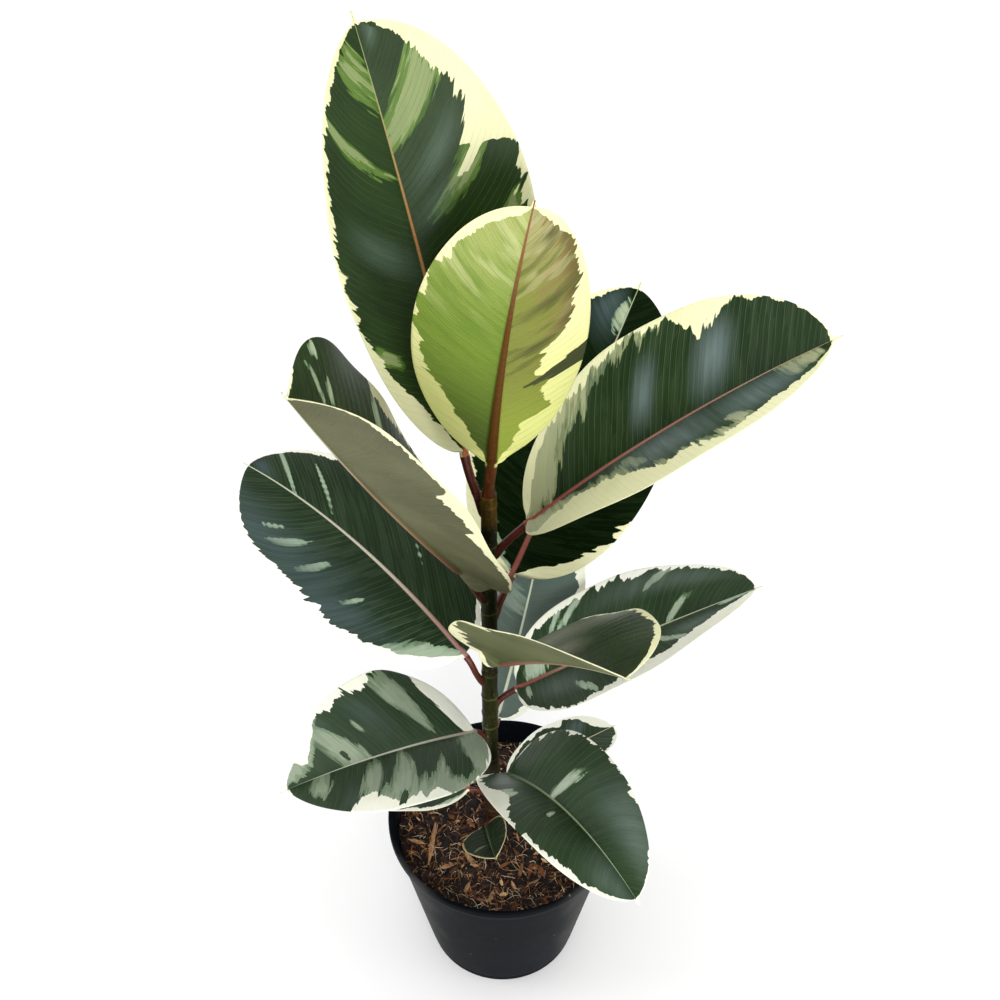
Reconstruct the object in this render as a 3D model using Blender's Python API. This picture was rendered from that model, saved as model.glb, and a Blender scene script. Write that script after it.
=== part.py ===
"""A potted rubber plant with variegated leaves: nursery pot, potting mix, one stem and fourteen leaves.

Metres, +Z up. The pot stands on Z = 0 with its axis on Z, and -Y faces the viewer.
"""

import math
import random
from dataclasses import dataclass

import bmesh
import bpy
import numpy as np

MM = 0.001
GAP = 0.3 * MM

# Pot
POT_SIDES = 48
POT_HEIGHT = 150 * MM
POT_FOOT_RADIUS = 56 * MM
POT_FOOT_HEIGHT = 8 * MM
POT_BASE_RADIUS = 57.5 * MM
POT_SHOULDER_RADIUS = 82 * MM
POT_RIM_RADIUS = 85 * MM
POT_WALL = 1.4 * MM
RIM_HEIGHT = 8 * MM
FLOOR_TOP = 4.5 * MM
CHANNEL_INNER_RADIUS = 20 * MM
CHANNEL_OUTER_RADIUS = 49 * MM
CHANNEL_DEPTH = 2.5 * MM
DRAIN_COUNT = 6
DRAIN_RADIUS = 4.5 * MM
DRAIN_CIRCLE_RADIUS = 36 * MM

# Potting mix
SOIL_LEVEL = 130 * MM
SOIL_RINGS = 9
SOIL_SWELL = 1.6 * MM
SOIL_GRAIN = 1.0 * MM
CHIP_COUNT = 40
CHIP_LENGTHS = (8 * MM, 21 * MM)
CHIP_SEED = 12

# Stem
STEM_SIDES = 14
STEM_FOOT = (-6 * MM, 0.0, 90 * MM)
STEM_LEAN = -3 * MM
STEM_LEAN_HEIGHT = 120 * MM
STEM_TOP = 503 * MM
STEM_FOOT_RADIUS = 6.7 * MM
STEM_MIDDLE_RADIUS = 5.6 * MM
STEM_TOP_RADIUS = 5.1 * MM
SCAR_HEIGHTS = (162, 185, 206, 226, 264, 278, 298, 324, 350, 366, 391, 417, 434, 457, 494)
SCAR_RIDGE = 0.45 * MM
SCAR_HALF_WIDTH = 1.6 * MM

# Leaves
BLADE_THICKNESS = 0.8 * MM
PETIOLE_STATIONS = (0.0, 0.34, 0.54, 0.72, 0.88)
BLADE_STATIONS = (0.0, 0.014, 0.04, 0.09, 0.16, 0.25, 0.35, 0.46, 0.57, 0.68, 0.78, 0.86, 0.92, 0.96, 0.98, 1.0)
BLADE_COLUMNS = (0.36, 0.7, 1.0)
RIB_HALF_WIDTH = 1.4 * MM
PETIOLE_COLUMN_STEP = 19.5
OPENING_LENGTH = 0.03
FOLDING_LENGTH = 0.01
DRIP_TIP_START = 0.9
DRIP_TIP_HALF_WIDTH = 3.0 * MM
TIP_HALF_WIDTH = 1.0 * MM
EDGE_WAVE = 1.2 * MM
EDGE_WAVES = 2.5
MIDRIB_STEPS = 200
SEATING_PASSES = 3


@dataclass(frozen=True)
class Leaf:
    """One leaf: lengths in millimetres, angles in degrees, pairs as (left half, right half).

    node is the height of the petiole's foot on the stem and base is where the blade begins.
    heading is the compass angle of the midrib from +X, pitch its rise, and droop, sweep and
    twist are how far pitch, heading and roll change from base to tip. fold lifts each half at
    the midrib, closing changes the fold along the leaf, and curl turns the half on to its edge.
    roundness holds the outline's exponents at the base and at the tip. stoutness multiplies the
    petiole's radius, which otherwise follows from the blade's length.
    """

    name: str
    node: float
    base: tuple
    length: float
    width: float
    heading: float
    pitch: float
    droop: float
    sweep: float
    roll: float
    twist: float
    fold: tuple
    closing: tuple
    curl: tuple
    roundness: tuple
    stoutness: float = 1.0

    @property
    def petiole_radius(self):
        return (1.0 + 0.0065 * self.length) * self.stoutness * MM

    @property
    def phase(self):
        return 0.37 * self.node


LEAVES = (
    Leaf("leaf_01_small_low_front", node=150, base=(-12, -20, 161), length=46, width=40,
         heading=-82, pitch=26, droop=-5, sweep=4, roll=-19, twist=2,
         fold=(32, 21), closing=(-8, 7), curl=(4, -8), roundness=(0.46, 0.52)),
    Leaf("leaf_02_low_right_back", node=174, base=(4, 6, 186), length=92, width=56,
         heading=23, pitch=15, droop=24, sweep=12, roll=10, twist=-3,
         fold=(9, 15), closing=(13, 2), curl=(-13, -6), roundness=(0.49, 0.53)),
    Leaf("leaf_03_low_left_under", node=176, base=(-25, -8, 194), length=102, width=56,
         heading=163, pitch=-19, droop=25, sweep=-7, roll=-1, twist=-6,
         fold=(15, 15), closing=(10, 0), curl=(-5, -5), roundness=(0.45, 0.54)),
    Leaf("leaf_04_low_right_front", node=195, base=(4, -9, 213), length=170, width=99,
         heading=-54, pitch=43, droop=54, sweep=-6, roll=-3, twist=-9,
         fold=(35, 33), closing=(4, -8), curl=(0, -3), roundness=(0.45, 0.53)),
    Leaf("leaf_05_middle_back", node=236, base=(-3, 20, 245), length=165, width=83,
         heading=61, pitch=59, droop=3, sweep=12, roll=14, twist=-15,
         fold=(3, 11), closing=(15, -17), curl=(-21, -9), roundness=(0.51, 0.47)),
    Leaf("leaf_06_low_left", node=252, base=(-20, -9, 266), length=173, width=110,
         heading=219, pitch=33, droop=16, sweep=0, roll=6, twist=14,
         fold=(26, 29), closing=(8, 25), curl=(-9, -1), roundness=(0.51, 0.52)),
    Leaf("leaf_07_middle_right", node=287, base=(10, 2, 302), length=190, width=96,
         heading=4, pitch=34, droop=1, sweep=-5, roll=-3, twist=12,
         fold=(18, 16), closing=(-16, 5), curl=(-1, -4), roundness=(0.47, 0.57)),
    Leaf("leaf_08_left_broad", node=312, base=(-26, -3, 347), length=228, width=125,
         heading=134, pitch=23, droop=36, sweep=3, roll=5, twist=12,
         fold=(-6, -2), closing=(-4, 12), curl=(-12, -33), roundness=(0.46, 0.51)),
    Leaf("leaf_09_middle_cupped", node=338, base=(-1, -20, 360), length=220, width=122,
         heading=-62, pitch=52, droop=11, sweep=0, roll=4, twist=0,
         fold=(23, 45), closing=(2, -1), curl=(-18, -9), roundness=(0.40, 0.48)),
    Leaf("leaf_10_back_right", node=378, base=(6, 17, 407), length=237, width=124,
         heading=64, pitch=23, droop=13, sweep=5, roll=-8, twist=-3,
         fold=(13, 9), closing=(-3, -3), curl=(-4, -15), roundness=(0.46, 0.62)),
    Leaf("leaf_11_left_boat", node=404, base=(-26, -8, 439), length=265, width=139,
         heading=222, pitch=60, droop=-7, sweep=-2, roll=15, twist=8,
         fold=(47, 26), closing=(29, 7), curl=(-15, -7), roundness=(0.30, 0.30)),
    Leaf("leaf_12_upper_right", node=446, base=(16, 2, 474), length=243, width=122,
         heading=0, pitch=50, droop=11, sweep=-7, roll=-12, twist=-11,
         fold=(21, 34), closing=(5, -4), curl=(6, 0), roundness=(0.52, 0.49)),
    Leaf("leaf_13_top_left", node=482, base=(-24, 17, 523), length=274, width=147,
         heading=109, pitch=58, droop=-12, sweep=25, roll=-2, twist=5,
         fold=(23, 22), closing=(-13, -4), curl=(13, 4), roundness=(0.63, 0.53)),
    Leaf("leaf_14_newest", node=503, base=(-7, -6, 539), length=179, width=111,
         heading=-127, pitch=95, droop=-15, sweep=-2, roll=-26, twist=-12,
         fold=(28, 12), closing=(3, 1), curl=(11, -4), roundness=(0.53, 0.55), stoutness=1.6),
)


def clear_scene():
    for thing in list(bpy.data.objects):
        bpy.data.objects.remove(thing, do_unlink=True)


def make_material(name, colour, roughness, metallic=0.0):
    material = bpy.data.materials.new(name)
    material.use_nodes = True
    shader = material.node_tree.nodes["Principled BSDF"]
    shader.inputs["Base Color"].default_value = (*colour, 1.0)
    shader.inputs["Roughness"].default_value = roughness
    shader.inputs["Metallic"].default_value = metallic
    return material


def smooth(value):
    """Rise from 0 to 1 with level ends as value goes from 0 to 1."""
    clipped = np.clip(value, 0.0, 1.0)
    return clipped * clipped * (3.0 - 2.0 * clipped)


def unit(vector):
    return vector / np.linalg.norm(vector)


def add_object(name, mesh, material):
    thing = bpy.data.objects.new(name, mesh)
    thing.data.materials.append(material)
    bpy.context.scene.collection.objects.link(thing)
    return thing


def solid_from_rings(name, rings, first_pole, last_pole, material, upper_columns=0):
    """Join closed loops of equal point count into one solid, each end closed to its pole.

    The first upper_columns points of a loop lie on an upper face. Quads there and on the
    lower face are split along the same diagonal as seen from above.
    """
    count = len(rings[0])
    points = [tuple(point) for ring in rings for point in ring]
    points += [tuple(first_pole), tuple(last_pole)]
    first, last = len(points) - 2, len(points) - 1
    faces = []
    for row in range(len(rings) - 1):
        here, above = row * count, (row + 1) * count
        for column in range(count):
            following = (column + 1) % count
            corners = (here + column, here + following, above + following, above + column)
            if column < upper_columns - 1:
                faces.append((corners[0], corners[1], corners[2]))
                faces.append((corners[0], corners[2], corners[3]))
            else:
                faces.append((corners[0], corners[1], corners[3]))
                faces.append((corners[1], corners[2], corners[3]))
    top = (len(rings) - 1) * count
    for column in range(count):
        following = (column + 1) % count
        faces.append((first, following, column))
        faces.append((last, top + column, top + following))
    mesh = bpy.data.meshes.new(name)
    mesh.from_pydata(points, [], faces)
    shape = bmesh.new()
    shape.from_mesh(mesh)
    bmesh.ops.recalc_face_normals(shape, faces=shape.faces)
    shape.to_mesh(mesh)
    shape.free()
    return add_object(name, mesh, material)


def circle(radius, height, sides, centre=(0.0, 0.0)):
    angles = 2.0 * np.pi * np.arange(sides) / sides
    level = np.full(sides, height)
    return np.stack([centre[0] + radius * np.cos(angles), centre[1] + radius * np.sin(angles), level], axis=1)


# Pot and potting mix


def pot_outer_radius(height):
    """Radius of the tapered outer wall between the foot and the rim."""
    rise = (height - POT_FOOT_HEIGHT) / (POT_HEIGHT - RIM_HEIGHT - POT_FOOT_HEIGHT)
    return POT_BASE_RADIUS + rise * (POT_SHOULDER_RADIUS - POT_BASE_RADIUS)


def pot_inner_radius(height):
    return pot_outer_radius(height) - POT_WALL


def pot_profile():
    """Radius and height from the middle of the underside, out, up, over the rim and back down inside."""
    rim_bottom = POT_HEIGHT - RIM_HEIGHT
    lip = (POT_RIM_RADIUS + pot_inner_radius(POT_HEIGHT)) / 2.0
    return (
        (CHANNEL_INNER_RADIUS, 0.0),
        (CHANNEL_INNER_RADIUS + 1.5 * MM, CHANNEL_DEPTH),
        (CHANNEL_OUTER_RADIUS - 1.5 * MM, CHANNEL_DEPTH),
        (CHANNEL_OUTER_RADIUS, 0.0),
        (POT_FOOT_RADIUS - 1.5 * MM, 0.0),
        (POT_FOOT_RADIUS, 1.5 * MM),
        (POT_FOOT_RADIUS, POT_FOOT_HEIGHT - 1.0 * MM),
        (POT_BASE_RADIUS, POT_FOOT_HEIGHT + 0.5 * MM),
        (POT_SHOULDER_RADIUS, rim_bottom),
        (POT_RIM_RADIUS - 0.8 * MM, rim_bottom + 0.8 * MM),
        (POT_RIM_RADIUS, rim_bottom + 2.0 * MM),
        (POT_RIM_RADIUS, POT_HEIGHT - 1.6 * MM),
        (POT_RIM_RADIUS - 0.7 * MM, POT_HEIGHT - 0.4 * MM),
        (lip, POT_HEIGHT),
        (pot_inner_radius(POT_HEIGHT), POT_HEIGHT - 1.0 * MM),
        (pot_inner_radius(rim_bottom), rim_bottom),
        (pot_inner_radius(FLOOR_TOP), FLOOR_TOP),
    )


def cut(target, cutter):
    """Boolean difference that stays on the target; the cutter is kept as a hidden wire."""
    cutter.hide_render = True
    cutter.display_type = "WIRE"
    modifier = target.modifiers.new("cut_" + cutter.name, "BOOLEAN")
    modifier.operation = "DIFFERENCE"
    modifier.solver = "EXACT"
    modifier.object = cutter


def add_drain_cutters(material):
    """One object that holds all the drain cylinders."""
    shape = bmesh.new()
    for index in range(DRAIN_COUNT):
        angle = 2.0 * math.pi * (index + 0.5) / DRAIN_COUNT
        made = bmesh.ops.create_cone(shape, cap_ends=True, segments=16, radius1=DRAIN_RADIUS,
                                     radius2=DRAIN_RADIUS, depth=10 * MM)
        place = (DRAIN_CIRCLE_RADIUS * math.cos(angle), DRAIN_CIRCLE_RADIUS * math.sin(angle), FLOOR_TOP)
        bmesh.ops.translate(shape, verts=made["verts"], vec=place)
    mesh = bpy.data.meshes.new("drain_cutters")
    shape.to_mesh(mesh)
    shape.free()
    return add_object("drain_cutters", mesh, material)


def build_pot(material):
    rings = [circle(radius, height, POT_SIDES) for radius, height in pot_profile()]
    pot = solid_from_rings("pot", rings, (0.0, 0.0, 0.0), (0.0, 0.0, FLOOR_TOP), material)
    cut(pot, add_drain_cutters(material))
    return pot


def soil_height(x, y):
    """Level of the mix: a slow swell, with none at the stem and at the wall."""
    swell = math.sin(90.0 * x + 0.6) * math.cos(75.0 * y) + 0.5 * math.sin(210.0 * y + 130.0 * x)
    return SOIL_LEVEL + SOIL_SWELL * swell


def soil_rings():
    """Loops from the bottom of the stem's hole, up, out over the surface and down the pot's wall."""
    grain = random.Random(CHIP_SEED)
    foot = np.array(STEM_FOOT[:2])
    hole = STEM_FOOT_RADIUS + GAP
    rings = [circle(hole, STEM_FOOT[2] - GAP, POT_SIDES, foot), circle(hole, SOIL_LEVEL, POT_SIDES, foot)]
    edge = pot_inner_radius(SOIL_LEVEL) - GAP
    for index in range(1, SOIL_RINGS):
        share = index / SOIL_RINGS
        radius = hole + share * (edge - hole)
        ring = circle(radius, SOIL_LEVEL, POT_SIDES, foot * (1.0 - share))
        for point in ring:
            point[2] = soil_height(point[0], point[1]) + grain.uniform(-SOIL_GRAIN, SOIL_GRAIN)
        rings.append(ring)
    rings.append(circle(edge, SOIL_LEVEL, POT_SIDES))
    bottom = FLOOR_TOP + GAP
    rings.append(circle(pot_inner_radius(bottom) - GAP, bottom, POT_SIDES))
    return rings


def add_chip(name, chance, material):
    """One flake of bark: a tapered bar, tilted and half sunk in the mix."""
    length = chance.uniform(*CHIP_LENGTHS)
    reach = pot_inner_radius(SOIL_LEVEL) - length / 2.0 - 4 * MM
    distance = 18 * MM + (reach - 18 * MM) * math.sqrt(chance.random())
    angle = chance.uniform(0.0, 2.0 * math.pi)
    place = (distance * math.cos(angle), distance * math.sin(angle))
    half = np.array([length, chance.uniform(3.0, 6.0) * MM, chance.uniform(1.8, 3.0) * MM]) / 2.0
    taper = chance.uniform(0.35, 0.9)
    corners = [(x * half[0], y * half[1] * (taper if x > 0 else 1.0), z * half[2])
               for x in (-1, 1) for y in (-1, 1) for z in (-1, 1)]
    faces = [(0, 1, 3, 2), (4, 6, 7, 5), (0, 4, 5, 1), (2, 3, 7, 6), (0, 2, 6, 4), (1, 5, 7, 3)]
    mesh = bpy.data.meshes.new(name)
    mesh.from_pydata(corners, [], faces)
    chip = add_object(name, mesh, material)
    chip.location = (*place, soil_height(*place) + 0.3 * MM)
    chip.rotation_euler = (chance.uniform(-0.4, 0.4), chance.uniform(-0.3, 0.3), chance.uniform(0.0, math.pi))
    return chip


def build_soil(material):
    """The mix, with its bark chips fused to it."""
    depth = FLOOR_TOP + GAP
    first_pole = (STEM_FOOT[0], STEM_FOOT[1], STEM_FOOT[2] - GAP)
    soil = solid_from_rings("potting_soil", soil_rings(), first_pole, (0.0, 0.0, depth), material)
    chance = random.Random(CHIP_SEED)
    chips = bpy.data.collections.new("chips")
    bpy.context.scene.collection.children.link(chips)
    for index in range(CHIP_COUNT):
        chip = add_chip(f"chip_{index:02d}", chance, material)
        bpy.context.scene.collection.objects.unlink(chip)
        chips.objects.link(chip)
    fuse(soil, chips)
    return soil


def fuse(target, collection):
    """Union with everything in a collection, applied, after which the collection's objects go."""
    modifier = target.modifiers.new("fuse", "BOOLEAN")
    modifier.operation = "UNION"
    modifier.solver = "EXACT"
    modifier.operand_type = "COLLECTION"
    modifier.collection = collection
    bpy.context.view_layer.update()
    evaluated = target.evaluated_get(bpy.context.evaluated_depsgraph_get())
    mesh = bpy.data.meshes.new_from_object(evaluated)
    target.modifiers.remove(modifier)
    target.data = mesh
    for thing in list(collection.objects):
        bpy.data.objects.remove(thing, do_unlink=True)
    bpy.data.collections.remove(collection)


# Stem


def stem_centre(height):
    """Where the stem's axis lies at a height: it leans a little to the left above the mix."""
    lean = STEM_LEAN * smooth((height - SOIL_LEVEL) / STEM_LEAN_HEIGHT)
    return np.array([STEM_FOOT[0] + lean, STEM_FOOT[1], height])


def stem_radius(height):
    levels = (SOIL_LEVEL, SOIL_LEVEL + 100 * MM, STEM_TOP)
    return float(np.interp(height, levels, (STEM_FOOT_RADIUS, STEM_MIDDLE_RADIUS, STEM_TOP_RADIUS)))


def build_stem(material):
    """One tapered stem with a raised ring above each leaf's foot."""
    stations = [(STEM_FOOT[2], 0.0), (SOIL_LEVEL + 2 * MM, 0.0)]
    for scar in SCAR_HEIGHTS:
        stations += [(scar * MM - SCAR_HALF_WIDTH, 0.0), (scar * MM, SCAR_RIDGE), (scar * MM + SCAR_HALF_WIDTH, 0.0)]
    stations.append((STEM_TOP, 0.0))
    rings = []
    for height, ridge in stations:
        centre = stem_centre(height)
        rings.append(circle(stem_radius(height) + ridge, height, STEM_SIDES, centre[:2]))
    return solid_from_rings("stem", rings, stem_centre(STEM_FOOT[2]), stem_centre(STEM_TOP), material)


# Leaves


def blade_axes(leaf, along):
    """Direction of the midrib, upper normal and right-hand side at a share of the blade's length."""
    heading = math.radians(leaf.heading + leaf.sweep * along)
    pitch = math.radians(leaf.pitch - leaf.droop * along)
    roll = math.radians(leaf.roll + leaf.twist * along)
    flat = np.array([math.cos(heading), math.sin(heading), 0.0])
    up = np.array([0.0, 0.0, 1.0])
    forward = flat * math.cos(pitch) + up * math.sin(pitch)
    level_normal = up * math.cos(pitch) - flat * math.sin(pitch)
    level_side = np.array([math.sin(heading), -math.cos(heading), 0.0])
    side = level_side * math.cos(roll) + level_normal * math.sin(roll)
    normal = level_normal * math.cos(roll) - level_side * math.sin(roll)
    return forward, normal, side


def midrib_point(leaf, along):
    """Point of the midrib, added up in short straight steps from the blade's base."""
    steps = max(1, round(MIDRIB_STEPS * along))
    step = along / steps
    total = sum(blade_axes(leaf, (index + 0.5) * step)[0] for index in range(steps))
    return np.array(leaf.base) * MM + total * step * leaf.length * MM


def blade_half_width(leaf, along):
    """Half the blade's width: an oval with its own roundness at each end, and a short drip tip."""
    low, high = leaf.roundness
    widest = low / (low + high)
    share = min(along / 0.975, 1.0)
    oval = leaf.width / 2.0 * MM * (share / widest) ** low * ((1.0 - share) / (1.0 - widest)) ** high
    if along < DRIP_TIP_START:
        return max(oval, leaf.petiole_radius * (1.0 - along))
    left = (1.0 - along) / (1.0 - DRIP_TIP_START)
    return max(oval, TIP_HALF_WIDTH + left * (DRIP_TIP_HALF_WIDTH - TIP_HALF_WIDTH))


def column_shares(half_width, opening):
    """Where the columns lie across, from -1 to 1: evenly round a petiole, by the rib on a blade."""
    angles = np.radians(PETIOLE_COLUMN_STEP * np.arange(-4, 5))
    rib = min(0.2, RIB_HALF_WIDTH / half_width)
    right = np.array([rib, *BLADE_COLUMNS])
    blade = np.concatenate([-right[::-1], [0.0], right])
    return (1.0 - opening) * np.sin(angles) + opening * blade


def blade_ring(leaf, along):
    """One loop around the blade: its upper face from left to right, then its lower face back."""
    forward, normal, side = blade_axes(leaf, along)
    opening = float(smooth(along / OPENING_LENGTH))
    folding = float(smooth(along / FOLDING_LENGTH))
    half = blade_half_width(leaf, along)
    across = column_shares(half, opening)
    out = np.abs(across)
    right = across > 0.0
    closing = (along - 0.5) * np.where(right, leaf.closing[1], leaf.closing[0])
    fold = np.radians(np.where(right, leaf.fold[1], leaf.fold[0]) + closing) * folding
    curl = np.radians(np.where(right, leaf.curl[1], leaf.curl[0])) * folding
    curl = np.where(np.abs(curl) < 0.001, 0.001, curl)
    slope = fold + curl * out
    lateral = np.sign(across) * half * (np.sin(slope) - np.sin(fold)) / curl
    rise = half * (np.cos(fold) - np.cos(slope)) / curl
    wave = np.sin(2.0 * math.pi * EDGE_WAVES * along + leaf.phase + 1.9 * right)
    rise += EDGE_WAVE * leaf.width / 120.0 * 4.0 * along * (1.0 - along) * out**2 * wave
    centres = midrib_point(leaf, along) + np.outer(lateral, side) + np.outer(rise, normal)
    facing = np.outer(-np.sign(across) * np.sin(slope), side) + np.outer(np.cos(slope), normal)
    facing /= np.linalg.norm(facing, axis=1)[:, None]
    disc = leaf.petiole_radius * np.sqrt(1.0 - 0.95 * np.minimum(out, 1.0) ** 2)
    upper = (1.0 - opening) * disc + opening * BLADE_THICKNESS / 2.0
    rib = opening * (0.15 * MM + 1.3 * leaf.petiole_radius * (1.0 - along) ** 1.3)
    lower = upper + rib * (out < 1e-6)
    top = centres + facing * upper[:, None]
    bottom = centres - facing * lower[:, None]
    return np.concatenate([top, bottom[::-1]])


def petiole_start(leaf):
    """The petiole's first point, on the stem's axis or its top, and the way that it sets off."""
    height = leaf.node * MM
    axis = stem_centre(height)
    if height >= STEM_TOP:
        return axis, np.array([0.0, 0.0, 1.0])
    reach = np.array(leaf.base) * MM - axis
    flat = unit(np.array([reach[0], reach[1], 0.0]))
    start = axis + flat * stem_radius(height)
    climb = np.array(leaf.base) * MM - start
    angle = math.atan2(climb[2], math.hypot(climb[0], climb[1])) + math.radians(10.0)
    angle = min(angle, math.radians(58.0))
    return start, flat * math.cos(angle) + np.array([0.0, 0.0, math.sin(angle)])


def petiole_ring(leaf, along):
    """One round loop of the petiole, which bends from the stem to the blade's own direction."""
    start, outward = petiole_start(leaf)
    forward, normal, _ = blade_axes(leaf, 0.0)
    end = np.array(leaf.base) * MM
    span = np.linalg.norm(end - start)
    handles = (start, start + outward * span * 0.4, end - forward * span * 0.35, end)
    weights = ((1 - along) ** 3, 3 * along * (1 - along) ** 2, 3 * along**2 * (1 - along), along**3)
    slopes = (3 * (1 - along) ** 2, 6 * along * (1 - along), 3 * along**2)
    centre = sum(weight * handle for weight, handle in zip(weights, handles))
    direction = unit(sum(slope * (handles[i + 1] - handles[i]) for i, slope in enumerate(slopes)))
    upward = unit(normal - direction * np.dot(normal, direction))
    side = np.cross(direction, upward)
    radius = leaf.petiole_radius * (1.0 + 0.3 * (1.0 - smooth(along / 0.3)))
    across = column_shares(radius, 0.0)
    lift = np.sqrt(1.0 - 0.95 * across**2)
    top = centre + np.outer(across, side) * radius + np.outer(lift, upward) * radius
    bottom = centre + np.outer(across, side) * radius - np.outer(lift, upward) * radius
    return np.concatenate([top, bottom[::-1]])


def seat_on_stem(leaf, points):
    """Slide points along the petiole's first direction on to the stem's surface, one gap clear of it."""
    _, outward = petiole_start(leaf)
    seated = np.array(points)
    if leaf.node * MM >= STEM_TOP:
        seated[:, 2] = STEM_TOP + GAP
        return seated
    for index, point in enumerate(points):
        height = leaf.node * MM
        for _ in range(SEATING_PASSES):
            offset = point[:2] - stem_centre(height)[:2]
            reach = stem_radius(height) + GAP
            a = np.dot(outward[:2], outward[:2])
            b = np.dot(offset, outward[:2])
            c = np.dot(offset, offset) - reach**2
            seated[index] = point + outward * (math.sqrt(b * b - a * c) - b) / a
            height = seated[index][2]
    return seated


def build_leaf(leaf, material):
    """Petiole, midrib and blade as one body, its hollowed foot against the stem."""
    rings = [petiole_ring(leaf, along) for along in PETIOLE_STATIONS]
    middle = rings[0].mean(axis=0)
    inner = seat_on_stem(leaf, middle + 0.5 * (rings[0] - middle))
    rings[0] = seat_on_stem(leaf, rings[0])
    rings.insert(0, inner)
    rings += [blade_ring(leaf, along) for along in BLADE_STATIONS]
    foot = seat_on_stem(leaf, [middle])[0]
    tip = rings[-1].mean(axis=0)
    columns = 2 * len(BLADE_COLUMNS) + 3
    return solid_from_rings(leaf.name, rings, foot, tip, material, upper_columns=columns)


def main():
    clear_scene()
    build_pot(make_material("black_pot", (0.018, 0.021, 0.025), 0.42))
    build_soil(make_material("potting_mix", (0.055, 0.028, 0.014), 0.95))
    build_stem(make_material("green_stem", (0.055, 0.055, 0.018), 0.5))
    leaf_green = make_material("variegated_leaf", (0.05, 0.11, 0.045), 0.35)
    young_green = make_material("young_leaf", (0.30, 0.42, 0.10), 0.38)
    for leaf in LEAVES:
        build_leaf(leaf, young_green if leaf.name == "leaf_14_newest" else leaf_green)


main()
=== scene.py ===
"""The finished look of a potted rubber plant: leaves, stem, potting mix, pot and studio.

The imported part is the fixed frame. Each of its nodes is replaced by a finer piece of the same
form, and every finish is made of shader nodes. Metres, +Z up, with the viewer on the -Y side.
"""

import logging
import math
import random
from dataclasses import dataclass, field
from enum import Enum
from typing import Mapping, Optional, Sequence, Union

import bmesh
import bpy
import numpy as np
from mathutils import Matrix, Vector


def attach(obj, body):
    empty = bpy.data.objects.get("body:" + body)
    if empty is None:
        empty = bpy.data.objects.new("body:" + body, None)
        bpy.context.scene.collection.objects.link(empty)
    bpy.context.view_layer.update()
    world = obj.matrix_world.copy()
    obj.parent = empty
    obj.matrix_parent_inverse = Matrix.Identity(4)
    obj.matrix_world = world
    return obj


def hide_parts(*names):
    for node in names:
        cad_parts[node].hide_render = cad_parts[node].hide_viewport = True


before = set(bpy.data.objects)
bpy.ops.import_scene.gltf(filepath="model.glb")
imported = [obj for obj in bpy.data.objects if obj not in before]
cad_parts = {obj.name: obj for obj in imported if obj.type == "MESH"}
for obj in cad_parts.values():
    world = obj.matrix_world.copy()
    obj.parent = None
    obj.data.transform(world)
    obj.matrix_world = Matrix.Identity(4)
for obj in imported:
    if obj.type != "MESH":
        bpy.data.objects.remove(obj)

MM = 0.001
BODY = "root"
log = logging.getLogger("rubber_plant")

Number = Union[float, "Value"]
Tint = Union[str, tuple, bpy.types.NodeSocket]
Pairs = tuple[tuple[float, float], ...]
Scrap = tuple[np.ndarray, float]


def tint(code: str) -> tuple[float, float, float, float]:
    """Turn a screen colour, as in "1f3a1e", into the linear one that a shader takes, with an alpha of 1."""
    parts = [int(code[place:place + 2], 16) / 255.0 for place in (0, 2, 4)]
    linear = [part / 12.92 if part < 0.04045 else ((part + 0.055) / 1.055) ** 2.4 for part in parts]
    return (linear[0], linear[1], linear[2], 1.0)


def smooth(value: np.ndarray) -> np.ndarray:
    """Rise from 0 to 1 with level ends as value goes from 0 to 1."""
    clipped = np.clip(value, 0.0, 1.0)
    return clipped * clipped * (3.0 - 2.0 * clipped)


class Tone(Enum):
    """The kinds of blotch on a variegated leaf, and SHEEN, the soft painted reflections."""

    CREAM = "cream"
    PALE = "pale"
    DARK = "dark"
    # Soft painted reflections; on the newest blade, soft dark olive bands.
    SHEEN = "sheen"


class Value:
    """A number that varies over a surface: arithmetic on it adds Math nodes."""

    def __init__(self, graph: "Graph", socket: bpy.types.NodeSocket) -> None:
        """Wrap an output socket of a node tree."""
        self.graph = graph
        self.socket = socket

    def __add__(self, other: Number) -> "Value":
        """Add a number."""
        return self.graph.math("ADD", self, other)

    def __radd__(self, other: Number) -> "Value":
        """Add this to a number."""
        return self.graph.math("ADD", other, self)

    def __sub__(self, other: Number) -> "Value":
        """Take a number away."""
        return self.graph.math("SUBTRACT", self, other)

    def __rsub__(self, other: Number) -> "Value":
        """Take this away from a number."""
        return self.graph.math("SUBTRACT", other, self)

    def __mul__(self, other: Number) -> "Value":
        """Multiply by a number."""
        return self.graph.math("MULTIPLY", self, other)

    def __rmul__(self, other: Number) -> "Value":
        """Multiply a number by this."""
        return self.graph.math("MULTIPLY", other, self)

    def __abs__(self) -> "Value":
        """Drop the sign."""
        return self.graph.math("ABSOLUTE", self)

    def at_least(self, other: Number) -> "Value":
        """Take the larger of this and a number."""
        return self.graph.math("MAXIMUM", self, other)

    def at_most(self, other: Number) -> "Value":
        """Take the smaller of this and a number."""
        return self.graph.math("MINIMUM", self, other)

    def rise(self, low: float, high: float) -> "Value":
        """Go smoothly from 0 at low to 1 at high."""
        settings = {"interpolation_type": "SMOOTHSTEP"}
        values = {"Value": self, "From Min": low, "From Max": high}
        return Value(self.graph, self.graph.node("ShaderNodeMapRange", settings, values).outputs[0])

    def lines(self, width: float) -> "Value":
        """Give 1 on thin lines where this is a whole number, their half width a share of the spacing."""
        wave = self.graph.math("PINGPONG", self, 0.5)
        return 1.0 - wave.rise(0.0, width)


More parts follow.
